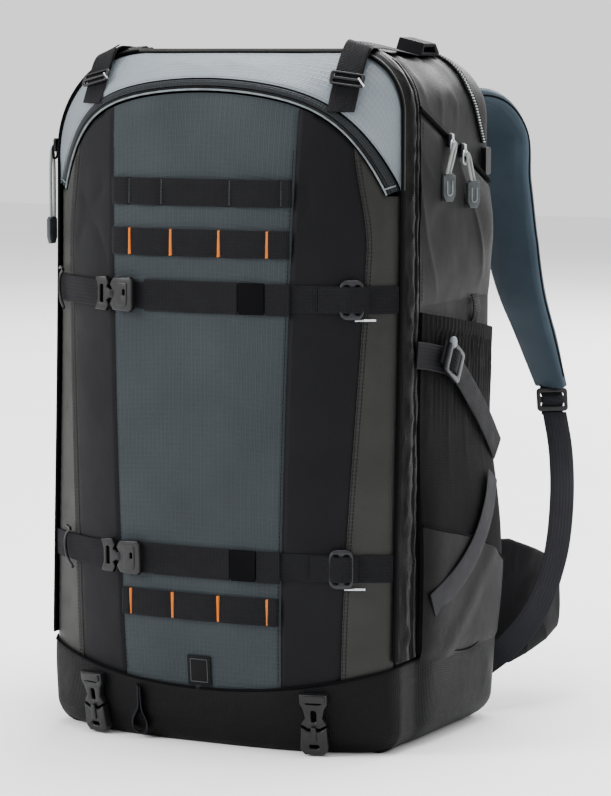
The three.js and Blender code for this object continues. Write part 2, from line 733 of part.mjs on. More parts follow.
// A ribbon along points, each with its own width direction.
function addRibbon(name, stops, width, thick, colour, steps = 16) {
  const path = new THREE.CatmullRomCurve3(stops.map((s) => s.at), false, "centripetal");
  const spread = new THREE.CatmullRomCurve3(stops.map((s) => s.across), false, "centripetal");
  const rings = shares(steps).map((t) => {
    const centre = path.getPoint(t);
    const across = spread.getPoint(t).normalize();
    const normal = path.getTangent(t).cross(across).normalize().multiplyScalar(thick / 2);
    const wide = typeof width === "function" ? width(t) : width;
    const edge = across.multiplyScalar(wide / 2);
    return [
      centre.clone().sub(edge).add(normal),
      centre.clone().add(edge).add(normal),
      centre.clone().add(edge).sub(normal),
      centre.clone().sub(edge).sub(normal),
    ];
  });
  return loft(name, rings, material(colour), "strip");
}

// A padded ribbon whose section is a rounded lens.
function addPad(name, stops, width, thick, colour, steps, sides = 10) {
  const path = new THREE.CatmullRomCurve3(stops.map((s) => s.at), false, "centripetal");
  const spread = new THREE.CatmullRomCurve3(stops.map((s) => s.across), false, "centripetal");
  const rings = shares(steps).map((t) => {
    const centre = path.getPoint(t);
    const across = spread.getPoint(t).normalize();
    const normal = path.getTangent(t).cross(across).normalize();
    return shares(sides).slice(0, -1).map((s) => {
      const angle = s * 2 * Math.PI;
      const square = (value) => Math.sign(value) * Math.abs(value) ** 0.6;
      return centre.clone()
        .addScaledVector(across, (width(t) / 2) * square(Math.cos(angle)))
        .addScaledVector(normal, (thick(t) / 2) * square(Math.sin(angle)));
    });
  });
  return loft(name, rings, material(colour));
}

// The straps from the arch seam up over the top edge, and the folded tab behind the right one.
function addTopStraps() {
  const rimY = edgeY(PACK_HEIGHT);
  const straps = [
    { name: "top_strap_right", lowX: 131, x: 137, endY: BACK_Y - TAB_INSET - 2, lift: 8, sag: 5 },
    { name: "top_strap_left", lowX: -122, x: -123, endY: rimY + 67, lift: 8, sag: 5 },
  ];
  const ridgeY = rimY + 7;
  for (const { name, lowX, x, endY, lift, sag } of straps) {
    const half = WEB_WIDTH / 2;
    const seamZ = archZ(lowX, 0) + 2;
    const slant = frontPoint(lowX + half, seamZ, 0).sub(frontPoint(lowX - half, seamZ, 0)).normalize();
    const out = slant.clone().cross(vec(0, 0, 1));
    const low = frontPoint(lowX, seamZ, 0).addScaledVector(out, 2.6);
    const across = vec(2 * half, 0, rimTop(x + half) - rimTop(x - half)).normalize();
    const climb = slant.clone().lerp(across, 0.5);
    const level = rimTop(x);
    const stops = [
      { at: low, across: slant },
      { at: vec(lerp(lowX, x, 0.5), lerp(low.y, rimY, 0.55) - 7, lerp(low.z, level, 0.54)), across: climb },
      { at: vec(x, rimY - 5, level + lift - 2), across },
      { at: vec(x, ridgeY + 8, level + lift), across },
      { at: vec(x, lerp(ridgeY, endY, 0.6), level + sag), across },
      { at: vec(x, endY, level + GAP + WEB_THICK / 2), across },
    ];
    addRibbon(name, stops, WEB_WIDTH, WEB_THICK, "webbing", 12);
  }
  const tab = new THREE.Shape();
  tab.moveTo(0, 0);
  tab.lineTo(TAB_LONG, 0);
  tab.lineTo(TAB_LONG - 2, TAB_TALL / 3);
  tab.lineTo(TAB_LONG * 0.68, TAB_TALL);
  tab.lineTo(2, TAB_TALL);
  tab.closePath();
  const tabX = 124;
  const lean = vec(0.25, 0, 1);
  const tabAt = vec(tabX, BACK_Y - TAB_INSET, rimTop(tabX) + FABRIC);
  addPlate("top_tab", tab, [], TAB_WIDE, tabAt, vec(0, 1, 0), lean, "harness");
}

// Pads on the back, and the padded straps and belt that stand behind it.
function addHarness() {
  const backPlace = (v, u, out) => vec(u * PAD_HALF, BACK_Y + out, lerp(PAD_FOOT, PACK_HEIGHT - PAD_DROP, v));
  const crown = (v, u) => GAP + PAD_THICK * (0.35 + 0.65 * Math.sin(Math.PI * clamp(v, 0.02, 0.98)) ** 0.3 *
    (1 - u ** 6));
  const columns = shares(6).map((s) => s * 2 - 1);
  patch("back_pad", shares(8), columns, backPlace, GAP, crown, material("harness"));
  const lumbarPlace = (v, u, out) => vec(u * LUMBAR_HALF, BACK_Y + out, lerp(LUMBAR_FOOT, LUMBAR_TOP, v));
  const lumbarCrown = (v, u) => GAP + FABRIC + LUMBAR_THICK *
    (0.4 + 0.6 * Math.sin(Math.PI * v) ** 0.4 * (1 - u ** 6));
  const lumbarNear = GAP + FABRIC + GAP;
  patch("lumbar_pad", shares(6), columns, lumbarPlace, lumbarNear, lumbarCrown, material("harness"));
  for (const [suffix, side] of [["right", 1], ["left", -1]]) {
    addShoulderStrap(suffix, side);
    addHipWing(suffix, side);
  }
  const buckleAt = vec(0, BACK_Y + BELT_REACH - BUCKLE_THICK / 2, WING_Z - 12);
  const slots = [slot(-26, 0, 5, 32), slot(26, 0, 5, 30)];
  const leftward = vec(-1, 0, 0);
  addPlate("hip_buckle", roundedRect(66, 50, 8), slots, BUCKLE_THICK, buckleAt, leftward, vec(0, 0, 1), "plastic");
}

// A padded strap from the back over its crest, its adjuster, and the webbing down to the pack's foot.
function addShoulderStrap(suffix, side) {
  const rootY = BACK_Y + PAD_THICK - 2 * GAP + STRAP_PAD_THICK / 2;
  const at = ({ across, behind, up }) =>
    vec(side * across * HALF, lerp(rootY, BACK_Y + STRAP_REACH, behind), up * PACK_HEIGHT);
  const turned = (k) => (k < 6 ? vec(1, 0, 0) : vec(1, side * -0.25, 0));
  const strap = STRAP_TABLE.map((row, k) => ({ at: at(row), across: turned(k) }));
  const width = (t) => STRAP_PAD_WIDTH * (t < 0.7 ? 1 : lerp(1, 0.58, (t - 0.7) / 0.3));
  const thick = (t) => STRAP_PAD_THICK * (t > 0.9 ? lerp(1, 0.6, (t - 0.9) / 0.1) : 1);
  addPad("shoulder_strap_" + suffix, strap, width, thick, "pad", 20, 8);

  const face = vec(0.8, side * 0.6, 0);
  const end = at(STRAP_TABLE.at(-1));
  const adjusterAt = end.clone().add(vec(side, 0, -15));
  const slots = [slot(0, -5, WEB_WIDTH - 1, 4), slot(0, 5, WEB_WIDTH - 1, 4)];
  const up = vec(side * -0.3, 0.1, 1);
  const frame = roundedRect(WEB_WIDTH + 7, 24, 3);
  addPlate("strap_adjuster_" + suffix, frame, slots, 4, adjusterAt, face, up, "plastic");

  const flow = [{ at: end.clone().add(vec(side * 5, -2, -27.2)), across: face }];
  for (const row of WEBBING_TABLE) {
    flow.push({ at: at(row), across: vec(1, side * row.turn, side * -row.drop) });
  }
  const foot = vec(side * 0.95 * HALF, BACK_Y + GAP + FABRIC + 5 * GAP, BOOT_SIDE * 0.53);
  flow.push({ at: foot, across: vec(0.75, side * 0.05, side * -0.66) });
  addRibbon("strap_webbing_" + suffix, flow, WEB_WIDTH, WEB_THICK, "webbing", 14);
}

// A wing of the hip belt from the lumbar pad, and its webbing to the buckle.
function addHipWing(suffix, side) {
  const up = vec(0, 0, 1);
  const at = ({ across, behind, rise }) =>
    vec(side * across * HALF, BACK_Y + behind * BELT_REACH, WING_Z + rise);
  const root = vec(side * (LUMBAR_HALF + 1.6 * GAP), BACK_Y + LUMBAR_THICK / 2 + 6 * GAP, WING_Z);
  const wing = [{ at: root, across: up }, ...WING_TABLE.map((row) => ({ at: at(row), across: up }))];
  const tall = (t) => WING_HEIGHT * (t > 0.55 ? lerp(1, 0.55, (t - 0.55) / 0.45) : 1);
  addPad("hip_wing_" + suffix, wing, tall, () => WING_THICK, "harness", 12);
  const start = at(WING_TABLE.at(-1)).add(vec(side * -0.4, 2 * GAP, 0));
  const belt = [{ at: start, across: up }, ...BELT_TABLE.map((row) => ({ at: at(row), across: up }))];
  addRibbon("hip_webbing_" + suffix, belt, BELT_WEB, WEB_THICK, "webbing", 12);
}

// Webbing across each side, over the pockets.
function addSideStraps() {
  const placeY = (along) => lerp(SEAM_Y, POCKET_REAR_Y, along);
  for (const [suffix, side] of [["right", 1], ["left", -1]]) {
    const over = HEM_THICK + 3 * GAP;
    const on = (y, z, extra = 0) => sidePoint(side, y, z, GAP + sideSwell(y, z) + over + extra);
    const run = (from, to) => vec(0, to[1] - from[1], from[0] - to[0]).normalize();
    const stopsAlong = (line, extra) =>
      line.map(([y, z], i) => {
        const from = line[Math.max(0, i - 1)];
        const to = line[Math.min(line.length - 1, i + 1)];
        return { at: on(y, z, extra), across: run(from, to) };
      });
    const line = SIDE_STRAP.map(({ along, below }) => [placeY(along), HEM_FRONT_Z - below]);
    addRibbon("side_strap_" + suffix, stopsAlong(line, 2.5), WEB_WIDTH, WEB_THICK, "webbing", 14);
    const lock = roundedRect(34, 32, 3);
    const down = vec(0, 0.86, -0.5).multiplyScalar(side);
    const lockAt = on(placeY(0.244), HEM_FRONT_Z - 47, 4.6);
    const slots = [slot(-8, 0, 6, WEB_WIDTH - 1), slot(7, 0, 6, WEB_WIDTH - 3)];
    addPlate("side_lock_" + suffix, lock, slots, 4, lockAt, down, vec(0, 0.5, 0.86), "plastic");
    const low = LOWER_STRAP.map(({ along, above }) => [placeY(along), BOOT_SIDE + above]);
    addRibbon("lower_strap_" + suffix, stopsAlong(low, GAP), WEB_WIDTH, WEB_THICK, "webbing", 12);
  }
}

// Zip pulls: a slider, a thin cord loop that hangs from it, and a moulded tab on the cord.
const CORD_RADIUS = 1.5;
const PULLS = [
  { key: "a", side: 1, along: 60, below: 81, drop: 44, lean: -15, seat: 2, hang: 11 },
  { key: "b", side: 1, along: 88, below: 91, drop: 42, lean: 7, seat: 2.2, hang: 14 },
  { key: "d", side: -1, along: -26, below: 88, drop: 82, lean: 0, seat: 3.4, hang: 13 },
];

function addPulls() {
  const sliderThick = 5;
  for (const { key, side, along, below, drop, lean, seat, hang } of PULLS) {
    const y = SEAM_Y + along;
    const z = PACK_HEIGHT - below;
    const base = HALF + GAP + FABRIC + seat;
    const face = vec(0, side, 0);
    const up = vec(0, 0, 1);
    const slider = roundedRect(12, 14, 2);
    addPlate("slider_" + key, slider, [], sliderThick, vec(side * base, y, z), face, up, "metal");
    const tabAt = vec(side * (HALF + hang - 2), y + lean, z - drop);
    addPlate("tab_" + key, roundedRect(14, 24, 4), [], 4, tabAt, face, up, "cord");
    const start = base + sliderThick + GAP + CORD_RADIUS;
    const foot = z - drop + 13;
    const loop = [[-3, 0], [-3.4, 0.4], [-2.6, 0.85], [0, 1], [2.6, 0.85], [3.4, 0.4], [3, 0]];
    const points = loop.map(([spread, share]) => {
      const x = lerp(HALF + hang, start, share);
      return vec(side * x, y + lean * (1 - share) + spread, lerp(foot, z - 3, share));
    });
    const section = new THREE.Shape();
    shares(8).slice(0, -1).forEach((s, i) => {
      const angle = s * 2 * Math.PI;
      const step = i === 0 ? "moveTo" : "lineTo";
      section[step](CORD_RADIUS * Math.cos(angle), CORD_RADIUS * Math.sin(angle));
    });
    section.closePath();
    const curve = new THREE.CatmullRomCurve3(points, false, "centripetal");
    const sweep = { steps: 10, extrudePath: curve, bevelEnabled: false };
    const geometry = new THREE.ExtrudeGeometry(section, sweep);
    const cord = new THREE.Mesh(geometry, material("cord"));
    cord.name = "cord_" + key;
    root.add(cord);
  }
  const zipEnd = vec(HALF + GAP, BACK_Y - REAR_ZIP_INSET + REAR_ZIP_DRIFT + 2, PACK_HEIGHT - REAR_ZIP_DROP - 17);
  addPlate("slider_c", roundedRect(12, 26, 3), [], sliderThick, zipEnd, vec(0, 1, 0), vec(0, 0, 1), "metal");
}

addShell();
addLid();
addArchBand();
addYoke();
addBoot();
addGussets();
addRearZip();
addSidePockets();
addFrontStraps();
addFrontHardware();
addFootHardware();
addTopStraps();
addHarness();
addSideStraps();
addPulls();

export default root;
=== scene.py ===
"""A camera backpack in cloth, webbing and hardware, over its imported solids. Lengths are in millimetres."""
import math

import bmesh
import bpy
from mathutils import Matrix, Vector, noise


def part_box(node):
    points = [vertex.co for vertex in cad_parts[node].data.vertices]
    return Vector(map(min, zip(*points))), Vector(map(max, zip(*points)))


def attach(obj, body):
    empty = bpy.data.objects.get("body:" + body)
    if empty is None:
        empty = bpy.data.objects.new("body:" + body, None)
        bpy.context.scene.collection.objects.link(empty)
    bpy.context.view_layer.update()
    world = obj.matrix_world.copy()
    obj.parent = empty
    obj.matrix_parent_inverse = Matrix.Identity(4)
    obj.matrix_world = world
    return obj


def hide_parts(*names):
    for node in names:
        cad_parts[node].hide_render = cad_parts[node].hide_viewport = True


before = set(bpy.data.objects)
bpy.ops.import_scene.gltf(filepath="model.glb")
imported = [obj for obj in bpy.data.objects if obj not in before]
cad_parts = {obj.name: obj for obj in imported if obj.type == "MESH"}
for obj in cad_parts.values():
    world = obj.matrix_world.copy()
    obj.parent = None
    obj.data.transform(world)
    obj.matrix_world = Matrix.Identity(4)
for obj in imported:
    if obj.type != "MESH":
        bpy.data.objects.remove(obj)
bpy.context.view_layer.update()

MM = 0.001
UP = Vector((0, 0, 1))

# The body, read from the frame.
SHELL_HIGH = Vector(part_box("main_shell")[1]) / MM
HALF = SHELL_HIGH.x
PACK_HEIGHT = SHELL_HIGH.z
BACK_Y = SHELL_HIGH.y
PACK_DEPTH = 218.0
FRONT_Y = BACK_Y - PACK_DEPTH
FRONT_BULGE = 50.0
FRONT_LEAN = 9.0
WALL = 8.0
TOP_ROUND = {1: 55.0, -1: 92.0}
BASE_CORNER = 28.0
BACK_ROUND_SIDE, BACK_ROUND_TOP, BACK_ROUND_BASE = 20.0, 45.0, 28.0

GAP = 0.5
SEAM_GAP = 0.3
LID_THICK = 5.0
FABRIC = 2.2
WEB_WIDTH = 25.0
WEB_THICK = 1.6
STRAP_LIFT = 0.6
PLASTIC = 6.0

LID_HALF = HALF - 2
ARCH_SPRING = PACK_HEIGHT - 124
ARCH_RISE = 100.0
ARCH_ROUND = 0.38
ARCH_BAND = 11.0
PANEL_HALF_TOP, PANEL_HALF_BASE = 97.0, 79.0
STRIP_TOP, STRIP_BASE = 146.0, 134.0

BOOT_ROUND = 24.0
BOOT_FRONT, BOOT_EDGE, BOOT_SIDE = 55.0, 80.0, 86.0
BOOT_TUCK = 8.0
LID_FOOT = 26.0

SEAM_Y = FRONT_Y + 42
POCKET_REAR_Y = BACK_Y - 12
HEM_FRONT_Z, HEM_REAR_Z = 403.0, 378.0
HEM_THICK = 3.4
FLAP_FRONT_Z, FLAP_REAR_Z = PACK_HEIGHT - 54, PACK_HEIGHT - 126
REAR_ZIP_END = PACK_HEIGHT - 86
REAR_ZIP_Y = BACK_Y - 56
REAR_ZIP_DRIFT = 30.0
POCKET_SWELL, POCKET_BELLY, ZIP_POCKET_SWELL = 24.0, 10.0, 13.0

UPPER_STRAP_Z, LOWER_STRAP_Z = 418.0, 174.0
LADDERS = [
    ("ladder_top", 513.0, PANEL_HALF_TOP - 5, (-71, -36, 34, 83), "thread_grey"),
    ("ladder_mid", 467.0, PANEL_HALF_TOP - 6, (-70, -25.5, 24, 71), "thread_orange"),
    ("ladder_low", 132.0, PANEL_HALF_BASE + 2, (-71, -25.5, 22, 71), "thread_orange"),
]

# The front: at is a share of the height, then shares of the lean and of the bulge.
FRONT_TABLE = [
    (0.0, 0.0, 0.64), (0.09, -0.55, 0.78), (0.28, -0.2, 0.98), (0.47, 0.33, 1.12),
    (0.7, 0.85, 1.18), (0.87, 1.0, 1.1), (0.97, 1.0, 0.94), (1.0, 1.0, 0.88),
]
# The sides: at, then shares of the swell and of the belly.
SIDE_TABLE = [
    (0.0, 0.15, 0.0), (0.04, 0.5, 0.0), (0.13, 0.72, 0.0), (0.2, 0.97, 0.1), (0.27, 1.0, 0.2),
    (0.34, 0.75, 0.4), (0.42, 0.3, 0.65), (0.5, 0.08, 0.8), (0.63, 0.2, 1.0),
]
# The loop of webbing by the pocket's hem.
LOOP_Y, LOOP_FOOT, LOOP_TALL, LOOP_WIDE = 69, 386, 28, 15
# The foot patch's upper edge: a share of the way back, then the height.
PATCH_TOP = [(0.0, 207), (0.13, 201), (0.31, 194.5), (0.54, 185), (0.73, 173), (0.89, 158), (1.0, 152)]


def lerp(a, b, share):
    return a + (b - a) * share


def clamp(value, low=0.0, high=1.0):
    return min(high, max(low, value))


def shares(count):
    return [i / count for i in range(count + 1)]


def ease(low, high, value):
    """From 0 at low to 1 at high, smoothly."""
    t = clamp((value - low) / (high - low))
    return t * t * (3 - 2 * t)


def table_at(rows, column, at):
    last = len(rows) - 1
    k = 0
    while k < last - 1 and at > rows[k + 1][0]:
        k += 1

    def slope(i):
        before, after = rows[max(i - 1, 0)], rows[min(i + 1, last)]
        return (after[column] - before[column]) / (after[0] - before[0])

    span = rows[k + 1][0] - rows[k][0]
    t = clamp((at - rows[k][0]) / span)
    a, b = rows[k][column], rows[k + 1][column]
    leave = t * (1 - t) ** 2 * span * slope(k)
    arrive = t * t * (t - 1) * span * slope(k + 1)
    return lerp(a, b, t * t * (3 - 2 * t)) + leave + arrive


def waves(p, size, seed=0.0):
    """Soft noise from -1 to 1, about one wave to each size."""
    return noise.noise(Vector((p[0] / size + seed, p[1] / size + 1.7 * seed, p[2] / size - seed)))


def creases(p, size, seed=0.0, sharp=3.0):
    """Ridges from 0 to 1 where the noise crosses nought."""
    return (1 - abs(waves(p, size, seed))) ** (4 * sharp)


def edge_y(z):
    return FRONT_Y + FRONT_LEAN * table_at(FRONT_TABLE, 1, z / PACK_HEIGHT)


def front_y(x, z):
    fall = min(1.0, abs(x / LID_HALF)) ** 3
    return edge_y(z) - FRONT_BULGE * table_at(FRONT_TABLE, 2, z / PACK_HEIGHT) * (1 - fall)


def front(x, z, out=0.0):
    return Vector((x, front_y(x, z) - out, z))


def front_frame(x, z):
    across = (front(x + 1, z) - front(x - 1, z)).normalized()
    up = (front(x, z + 1) - front(x, z - 1)).normalized()
    out = across.cross(up).normalized()
    return across, out.cross(across), out


def draw_in(radius, depth):
    if depth >= radius:
        return 0.0
    return radius - math.sqrt(max(0.0, radius**2 - (radius - depth) ** 2))


def arch(share, out):
    u = -math.cos(math.pi * share)
    height = 1 - ARCH_ROUND * u**2 - (1 - ARCH_ROUND) * u**6
    slope = (-ARCH_RISE / LID_HALF) * (2 * ARCH_ROUND * u + 6 * (1 - ARCH_ROUND) * u**5)
    reach = out / math.hypot(slope, 1)
    return LID_HALF * u - slope * reach, ARCH_SPRING + ARCH_RISE * height + reach


def arch_z(x, out):
    low, high = 0.5, 1.0
    for _ in range(24):
        middle = (low + high) / 2
        if arch(middle, out)[0] < abs(x):
            low = middle
        else:
            high = middle
    return arch(low, out)[1]


def corner_in(side, z):
    return draw_in(TOP_ROUND[side], PACK_HEIGHT - z)


def rim_top(x):
    return PACK_HEIGHT - draw_in(TOP_ROUND[1 if x > 0 else -1], HALF - abs(x))


def side_swell(y, z):
    middle = (SEAM_Y + POCKET_REAR_Y) / 2
    u = clamp((y - middle) / ((POCKET_REAR_Y - SEAM_Y) / 2 + 4), -1, 1)
    at = z / PACK_HEIGHT
    rear = POCKET_SWELL * table_at(SIDE_TABLE, 1, at) * lerp(0.45, 1, (u + 1) / 2)
    belly = POCKET_BELLY * table_at(SIDE_TABLE, 2, at)
    return rear * (1 - u**8) + belly * (1 - u * u)


def side_point(side, y, z, out):
    x = HALF - draw_in(BACK_ROUND_SIDE, BACK_Y - y) - corner_in(side, z) + out
    return Vector((side * x, y, z))


def hem_z(y):
    return lerp(HEM_FRONT_Z, HEM_REAR_Z, (y - SEAM_Y) / (POCKET_REAR_Y - SEAM_Y))


def flap_z(y):
    return lerp(FLAP_FRONT_Z, FLAP_REAR_Z, (y - SEAM_Y) / (POCKET_REAR_Y - SEAM_Y))


def spline(points, t):
    """A centripetal curve through points, at a share of its stops."""
    last = len(points) - 1
    at = clamp(t) * last
    k = min(int(at), last - 1)
    weight = at - k
    p1, p2 = points[k], points[k + 1]
    p0 = points[k - 1] if k else p1 * 2 - p2
    p3 = points[k + 2] if k + 2 <= last else p2 * 2 - p1
    steps = [max(1e-4, (b - a).length ** 0.5) for a, b in ((p0, p1), (p1, p2), (p2, p3))]
    t1 = ((p1 - p0) / steps[0] - (p2 - p0) / (steps[0] + steps[1]) + (p2 - p1) / steps[1]) * steps[1]
    t2 = ((p2 - p1) / steps[1] - (p3 - p1) / (steps[1] + steps[2]) + (p3 - p2) / steps[2]) * steps[1]
    square = p2 * 3 - p1 * 3 - t1 * 2 - t2
    cube = p1 * 2 - p2 * 2 + t1 + t2
    return p1 + t1 * weight + square * weight**2 + cube * weight**3


def curve(points, count):
    return [spline(points, t) for t in shares(count)]


# ---- materials ----
def linear(code):
    """A colour written as six hex digits, for a shader."""
    parts = [int(code[i : i + 2], 16) / 255 for i in (0, 2, 4)]
    return [c / 12.92 if c <= 0.04045 else ((c + 0.055) / 1.055) ** 2.4 for c in parts] + [1.0]


class Look:
    """A node material in the making: its colour, its bump and its roughness all vary."""

    def __init__(self, name, dark, light, rough, metal=0.0, gloss=0.1):
        self.material = bpy.data.materials.new(name)
        self.material.use_nodes = True
        self.nodes = self.material.node_tree.nodes
        self.links = self.material.node_tree.links
        self.shader = self.nodes["Principled BSDF"]
        self.shader.inputs["Roughness"].default_value = rough
        self.shader.inputs["Metallic"].default_value = metal
        self.shader.inputs["Specular IOR Level"].default_value = gloss
        self.dark, self.light = linear(dark), linear(light)
        self.height = None
        self.object_at = self.nodes.new("ShaderNodeTexCoord").outputs["Object"]
        uv = self.nodes.new("ShaderNodeUVMap")
        uv.uv_map = "weave"
        self.woven_at = uv.outputs["UV"]

    def node(self, kind, **values):
        made = self.nodes.new(kind)
        for key, value in values.items():
            setattr(made, key, value)
        return made

    def noise(self, size, detail=3.0, at=None):
        made = self.node("ShaderNodeTexNoise")
        made.inputs["Scale"].default_value = 1 / (size * MM)
        made.inputs["Detail"].default_value = detail
        self.links.new(at or self.object_at, made.inputs["Vector"])
        return made.outputs["Fac"]

    def wave(self, pitch, direction, distortion=0.0):
        made = self.node("ShaderNodeTexWave", wave_type="BANDS", bands_direction=direction)
        made.inputs["Scale"].default_value = math.pi / 10 / (pitch * MM)
        made.inputs["Distortion"].default_value = distortion
        self.links.new(self.woven_at, made.inputs["Vector"])
        return made.outputs["Fac"]

    def math(self, operation, a, b):
        made = self.node("ShaderNodeMath", operation=operation)
        for socket, value in zip(made.inputs, (a, b)):
            if isinstance(value, (int, float)):
                socket.default_value = value
            else:
                self.links.new(value, socket)
        return made.outputs["Value"]

    def ramp(self, value, low, high):
        made = self.node("ShaderNodeMapRange")
        self.links.new(value, made.inputs["Value"])
        made.inputs["From Min"].default_value = low
        made.inputs["From Max"].default_value = high
        return made.outputs["Result"]

    def colour(self, factor):
        mix = self.node("ShaderNodeMix", data_type="RGBA")
        self.links.new(factor, mix.inputs["Factor"])
        for socket in mix.inputs:
            if socket.type == "RGBA":
                socket.default_value = self.dark if socket.name == "A" else self.light
        result = [s for s in mix.outputs if s.type == "RGBA"][0]
        self.links.new(result, self.shader.inputs["Base Color"])
        return self

    def bump(self, height, depth, strength=1.0):
        made = self.node("ShaderNodeBump")
        made.inputs["Distance"].default_value = depth * MM
        made.inputs["Strength"].default_value = strength
        self.links.new(height, made.inputs["Height"])
        if self.height is not None:
            self.links.new(self.height, made.inputs["Normal"])
        self.height = made.outputs["Normal"]
        self.links.new(self.height, self.shader.inputs["Normal"])
        return self

    def roughness(self, value, low, high):
        made = self.node("ShaderNodeMapRange")
        self.links.new(value, made.inputs["Value"])
        made.inputs["To Min"].default_value = low
        made.inputs["To Max"].default_value = high
        self.links.new(made.outputs["Result"], self.shader.inputs["Roughness"])
        return self


def cloth(name, dark, light, rough=0.7, pitch=1.1, gloss=0.1, depth=0.16):
    look = Look(name, dark, light, rough, gloss=gloss)
    threads = look.math("MULTIPLY", look.wave(pitch, "X"), look.wave(pitch, "Y"))
    soil = look.ramp(look.noise(70, 4.0), 0.3, 0.7)
    fleck = look.math("MULTIPLY", look.noise(1.6, 1.0, look.woven_at), 0.5)
    # tone is lighter on the threads and darker between them, where the weave's bump dips: painted shade in the
    # weave's valleys.
    tone = look.math("ADD", look.math("MULTIPLY", soil, 0.45), look.math("MULTIPLY", threads, 0.35))
    look.colour(look.math("ADD", tone, look.math("MULTIPLY", fleck, 0.4)))
    look.bump(threads, depth).bump(look.noise(26, 2.0), 0.9)
    return look.roughness(look.noise(45, 2.0), rough - 0.08, rough + 0.1).material


def ripstop(name, dark, light, rough=0.62, line=1.5, cell=4.6, gloss=0.15):
    """Fine lines across, and a coarser grid that stands out of them."""
    look = Look(name, dark, light, rough, gloss=gloss)
    lines = look.wave(line, "Y")
    across, along = [look.ramp(look.wave(cell, way), 0.8, 1.0) for way in "XY"]
    grid = look.math("MAXIMUM", across, along)
    soil = look.ramp(look.noise(85, 3.0), 0.3, 0.7)
    # tone follows the lines and the grid, lighter where they stand out in the bump and darker between them:
    # the ripstop's pattern, with painted shade in its valleys.
    tone = look.math("ADD", look.math("MULTIPLY", lines, 0.5), look.math("MULTIPLY", soil, 0.35))
    look.colour(look.math("ADD", tone, look.math("MULTIPLY", grid, 0.2)))
    look.bump(look.math("ADD", look.math("MULTIPLY", lines, 0.6), grid), 0.22).bump(look.noise(30, 2.0), 0.9)
    return look.roughness(look.noise(40, 2.0), rough - 0.08, rough + 0.1).material


def webbing(name, dark, light, rough=0.62, pitch=1.5, direction="X"):
    look = Look(name, dark, light, rough)
    ribs = look.wave(pitch, direction, 0.4)
    cross = look.wave(3.2, "Y" if direction == "X" else "X")
    # tone is lighter on the ribs and the cross threads and darker between them, where the bump dips: painted
    # shade in the webbing's grooves.
    tone = look.math("ADD", look.math("MULTIPLY", ribs, 0.6), look.math("MULTIPLY", cross, 0.2))
    look.colour(look.math("ADD", tone, look.math("MULTIPLY", look.noise(18, 3.0), 0.4)))
    look.bump(ribs, 0.4).bump(cross, 0.2)
    return look.roughness(look.noise(14, 2.0), rough - 0.1, rough + 0.12).material


def moulded(name, dark, light, rough=0.42, metal=0.0, grain=0.7, depth=0.04, gloss=0.3):
    look = Look(name, dark, light, rough, metal=metal, gloss=gloss)
    look.colour(look.ramp(look.noise(9, 4.0), 0.3, 0.75))
    look.bump(look.noise(grain, 2.0), depth)
    return look.roughness(look.noise(5, 3.0), rough - 0.1, rough + 0.12).material


LOOKS = {
    "ripstop": ripstop("ripstop", "1a1f21", "2f3539"),
    "black": cloth("panel_black", "050507", "0f0f12", 0.5, 1.3, 0.1),
    "olive": cloth("panel_olive", "141413", "282826", 0.42, 1.5, 0.2, 0.2),
    # gusset: the lid strips' olive cloth (panel_olive) copied far darker for the gussets, as painted shade
    "gusset": cloth("gusset_olive", "040404", "0b0b0a", 0.3, 1.5, 0.06, 0.2),
    "side": cloth("side_cloth", "0a0a0a", "141414", 0.42, 1.0, 0.06, 0.1),
    "yoke": ripstop("yoke", "525a60", "727a80", 0.45, 1.5, 4.6, 0.4),
    "boot": cloth("boot_black", "050506", "0c0c0e", 0.5, 2.2, 0.08, 0.3),
    "shadow": cloth("seam_black", "030304", "070709", 0.8, 1.2, 0.05),
    "stretch": cloth("stretch_knit", "040405", "0a0a0c", 0.72, 1.4, 0.06, 0.2),
    "harness": cloth("harness_black", "050507", "0d0d10", 0.7, 1.6, 0.08, 0.2),
    "mesh": cloth("air_mesh", "060608", "111114", 0.8, 3.0, 0.08, 0.7),
    "pad": cloth("strap_blue", "242f38", "3a4852", 0.6, 1.2, 0.15, 0.12),
    "webbing": webbing("webbing_black", "050507", "101014"),
    "webbing_side": webbing("webbing_smooth", "0c0c10", "1e1e24", 0.5, 1.2),
    "tape": webbing("zip_tape", "101214", "26292c", 0.38, 1.6, "Y"),
    "teeth": moulded("zip_teeth", "8c8f91", "d4d7d8", 0.35, 0.0, 0.5, 0.02, 0.5),
    "teeth_black": moulded("zip_teeth_black", "040405", "0e0e10", 0.4, 0.0, 0.5),
    "plastic": moulded("buckle_plastic", "060608", "121214", 0.38),
    "plastic_grey": moulded("adjuster_plastic", "0f0f13", "1e1e24", 0.36),
    "metal": moulded("slider_metal", "9a9da0", "d3d6d9", 0.3, 0.9, 0.6, 0.02),
    "dark_metal": moulded("slider_dark", "0a0a0c", "1f1f23", 0.32, 0.6, 0.6, 0.02),
    "cord": webbing("pull_cord", "5d605f", "979a98", 0.7, 1.2),
    "tab": moulded("pull_tab", "262a2b", "3c4142", 0.5, 0.0, 0.8, 0.05),
    "piping": moulded("piping_grey", "4d5357", "6f767a", 0.45, 0.0, 1.0, 0.05),
    "thread_orange": webbing("thread_orange", "a0520f", "dd7d2c", 0.6, 0.8),
    "thread_grey": webbing("thread_grey", "2c2f31", "55595c", 0.6, 0.8),
    "thread_black": webbing("thread_black", "040405", "0c0c0e", 0.6, 0.8),
    "label": cloth("label_black", "040405", "0c0c0e", 0.6, 0.7, 0.1, 0.06),
}


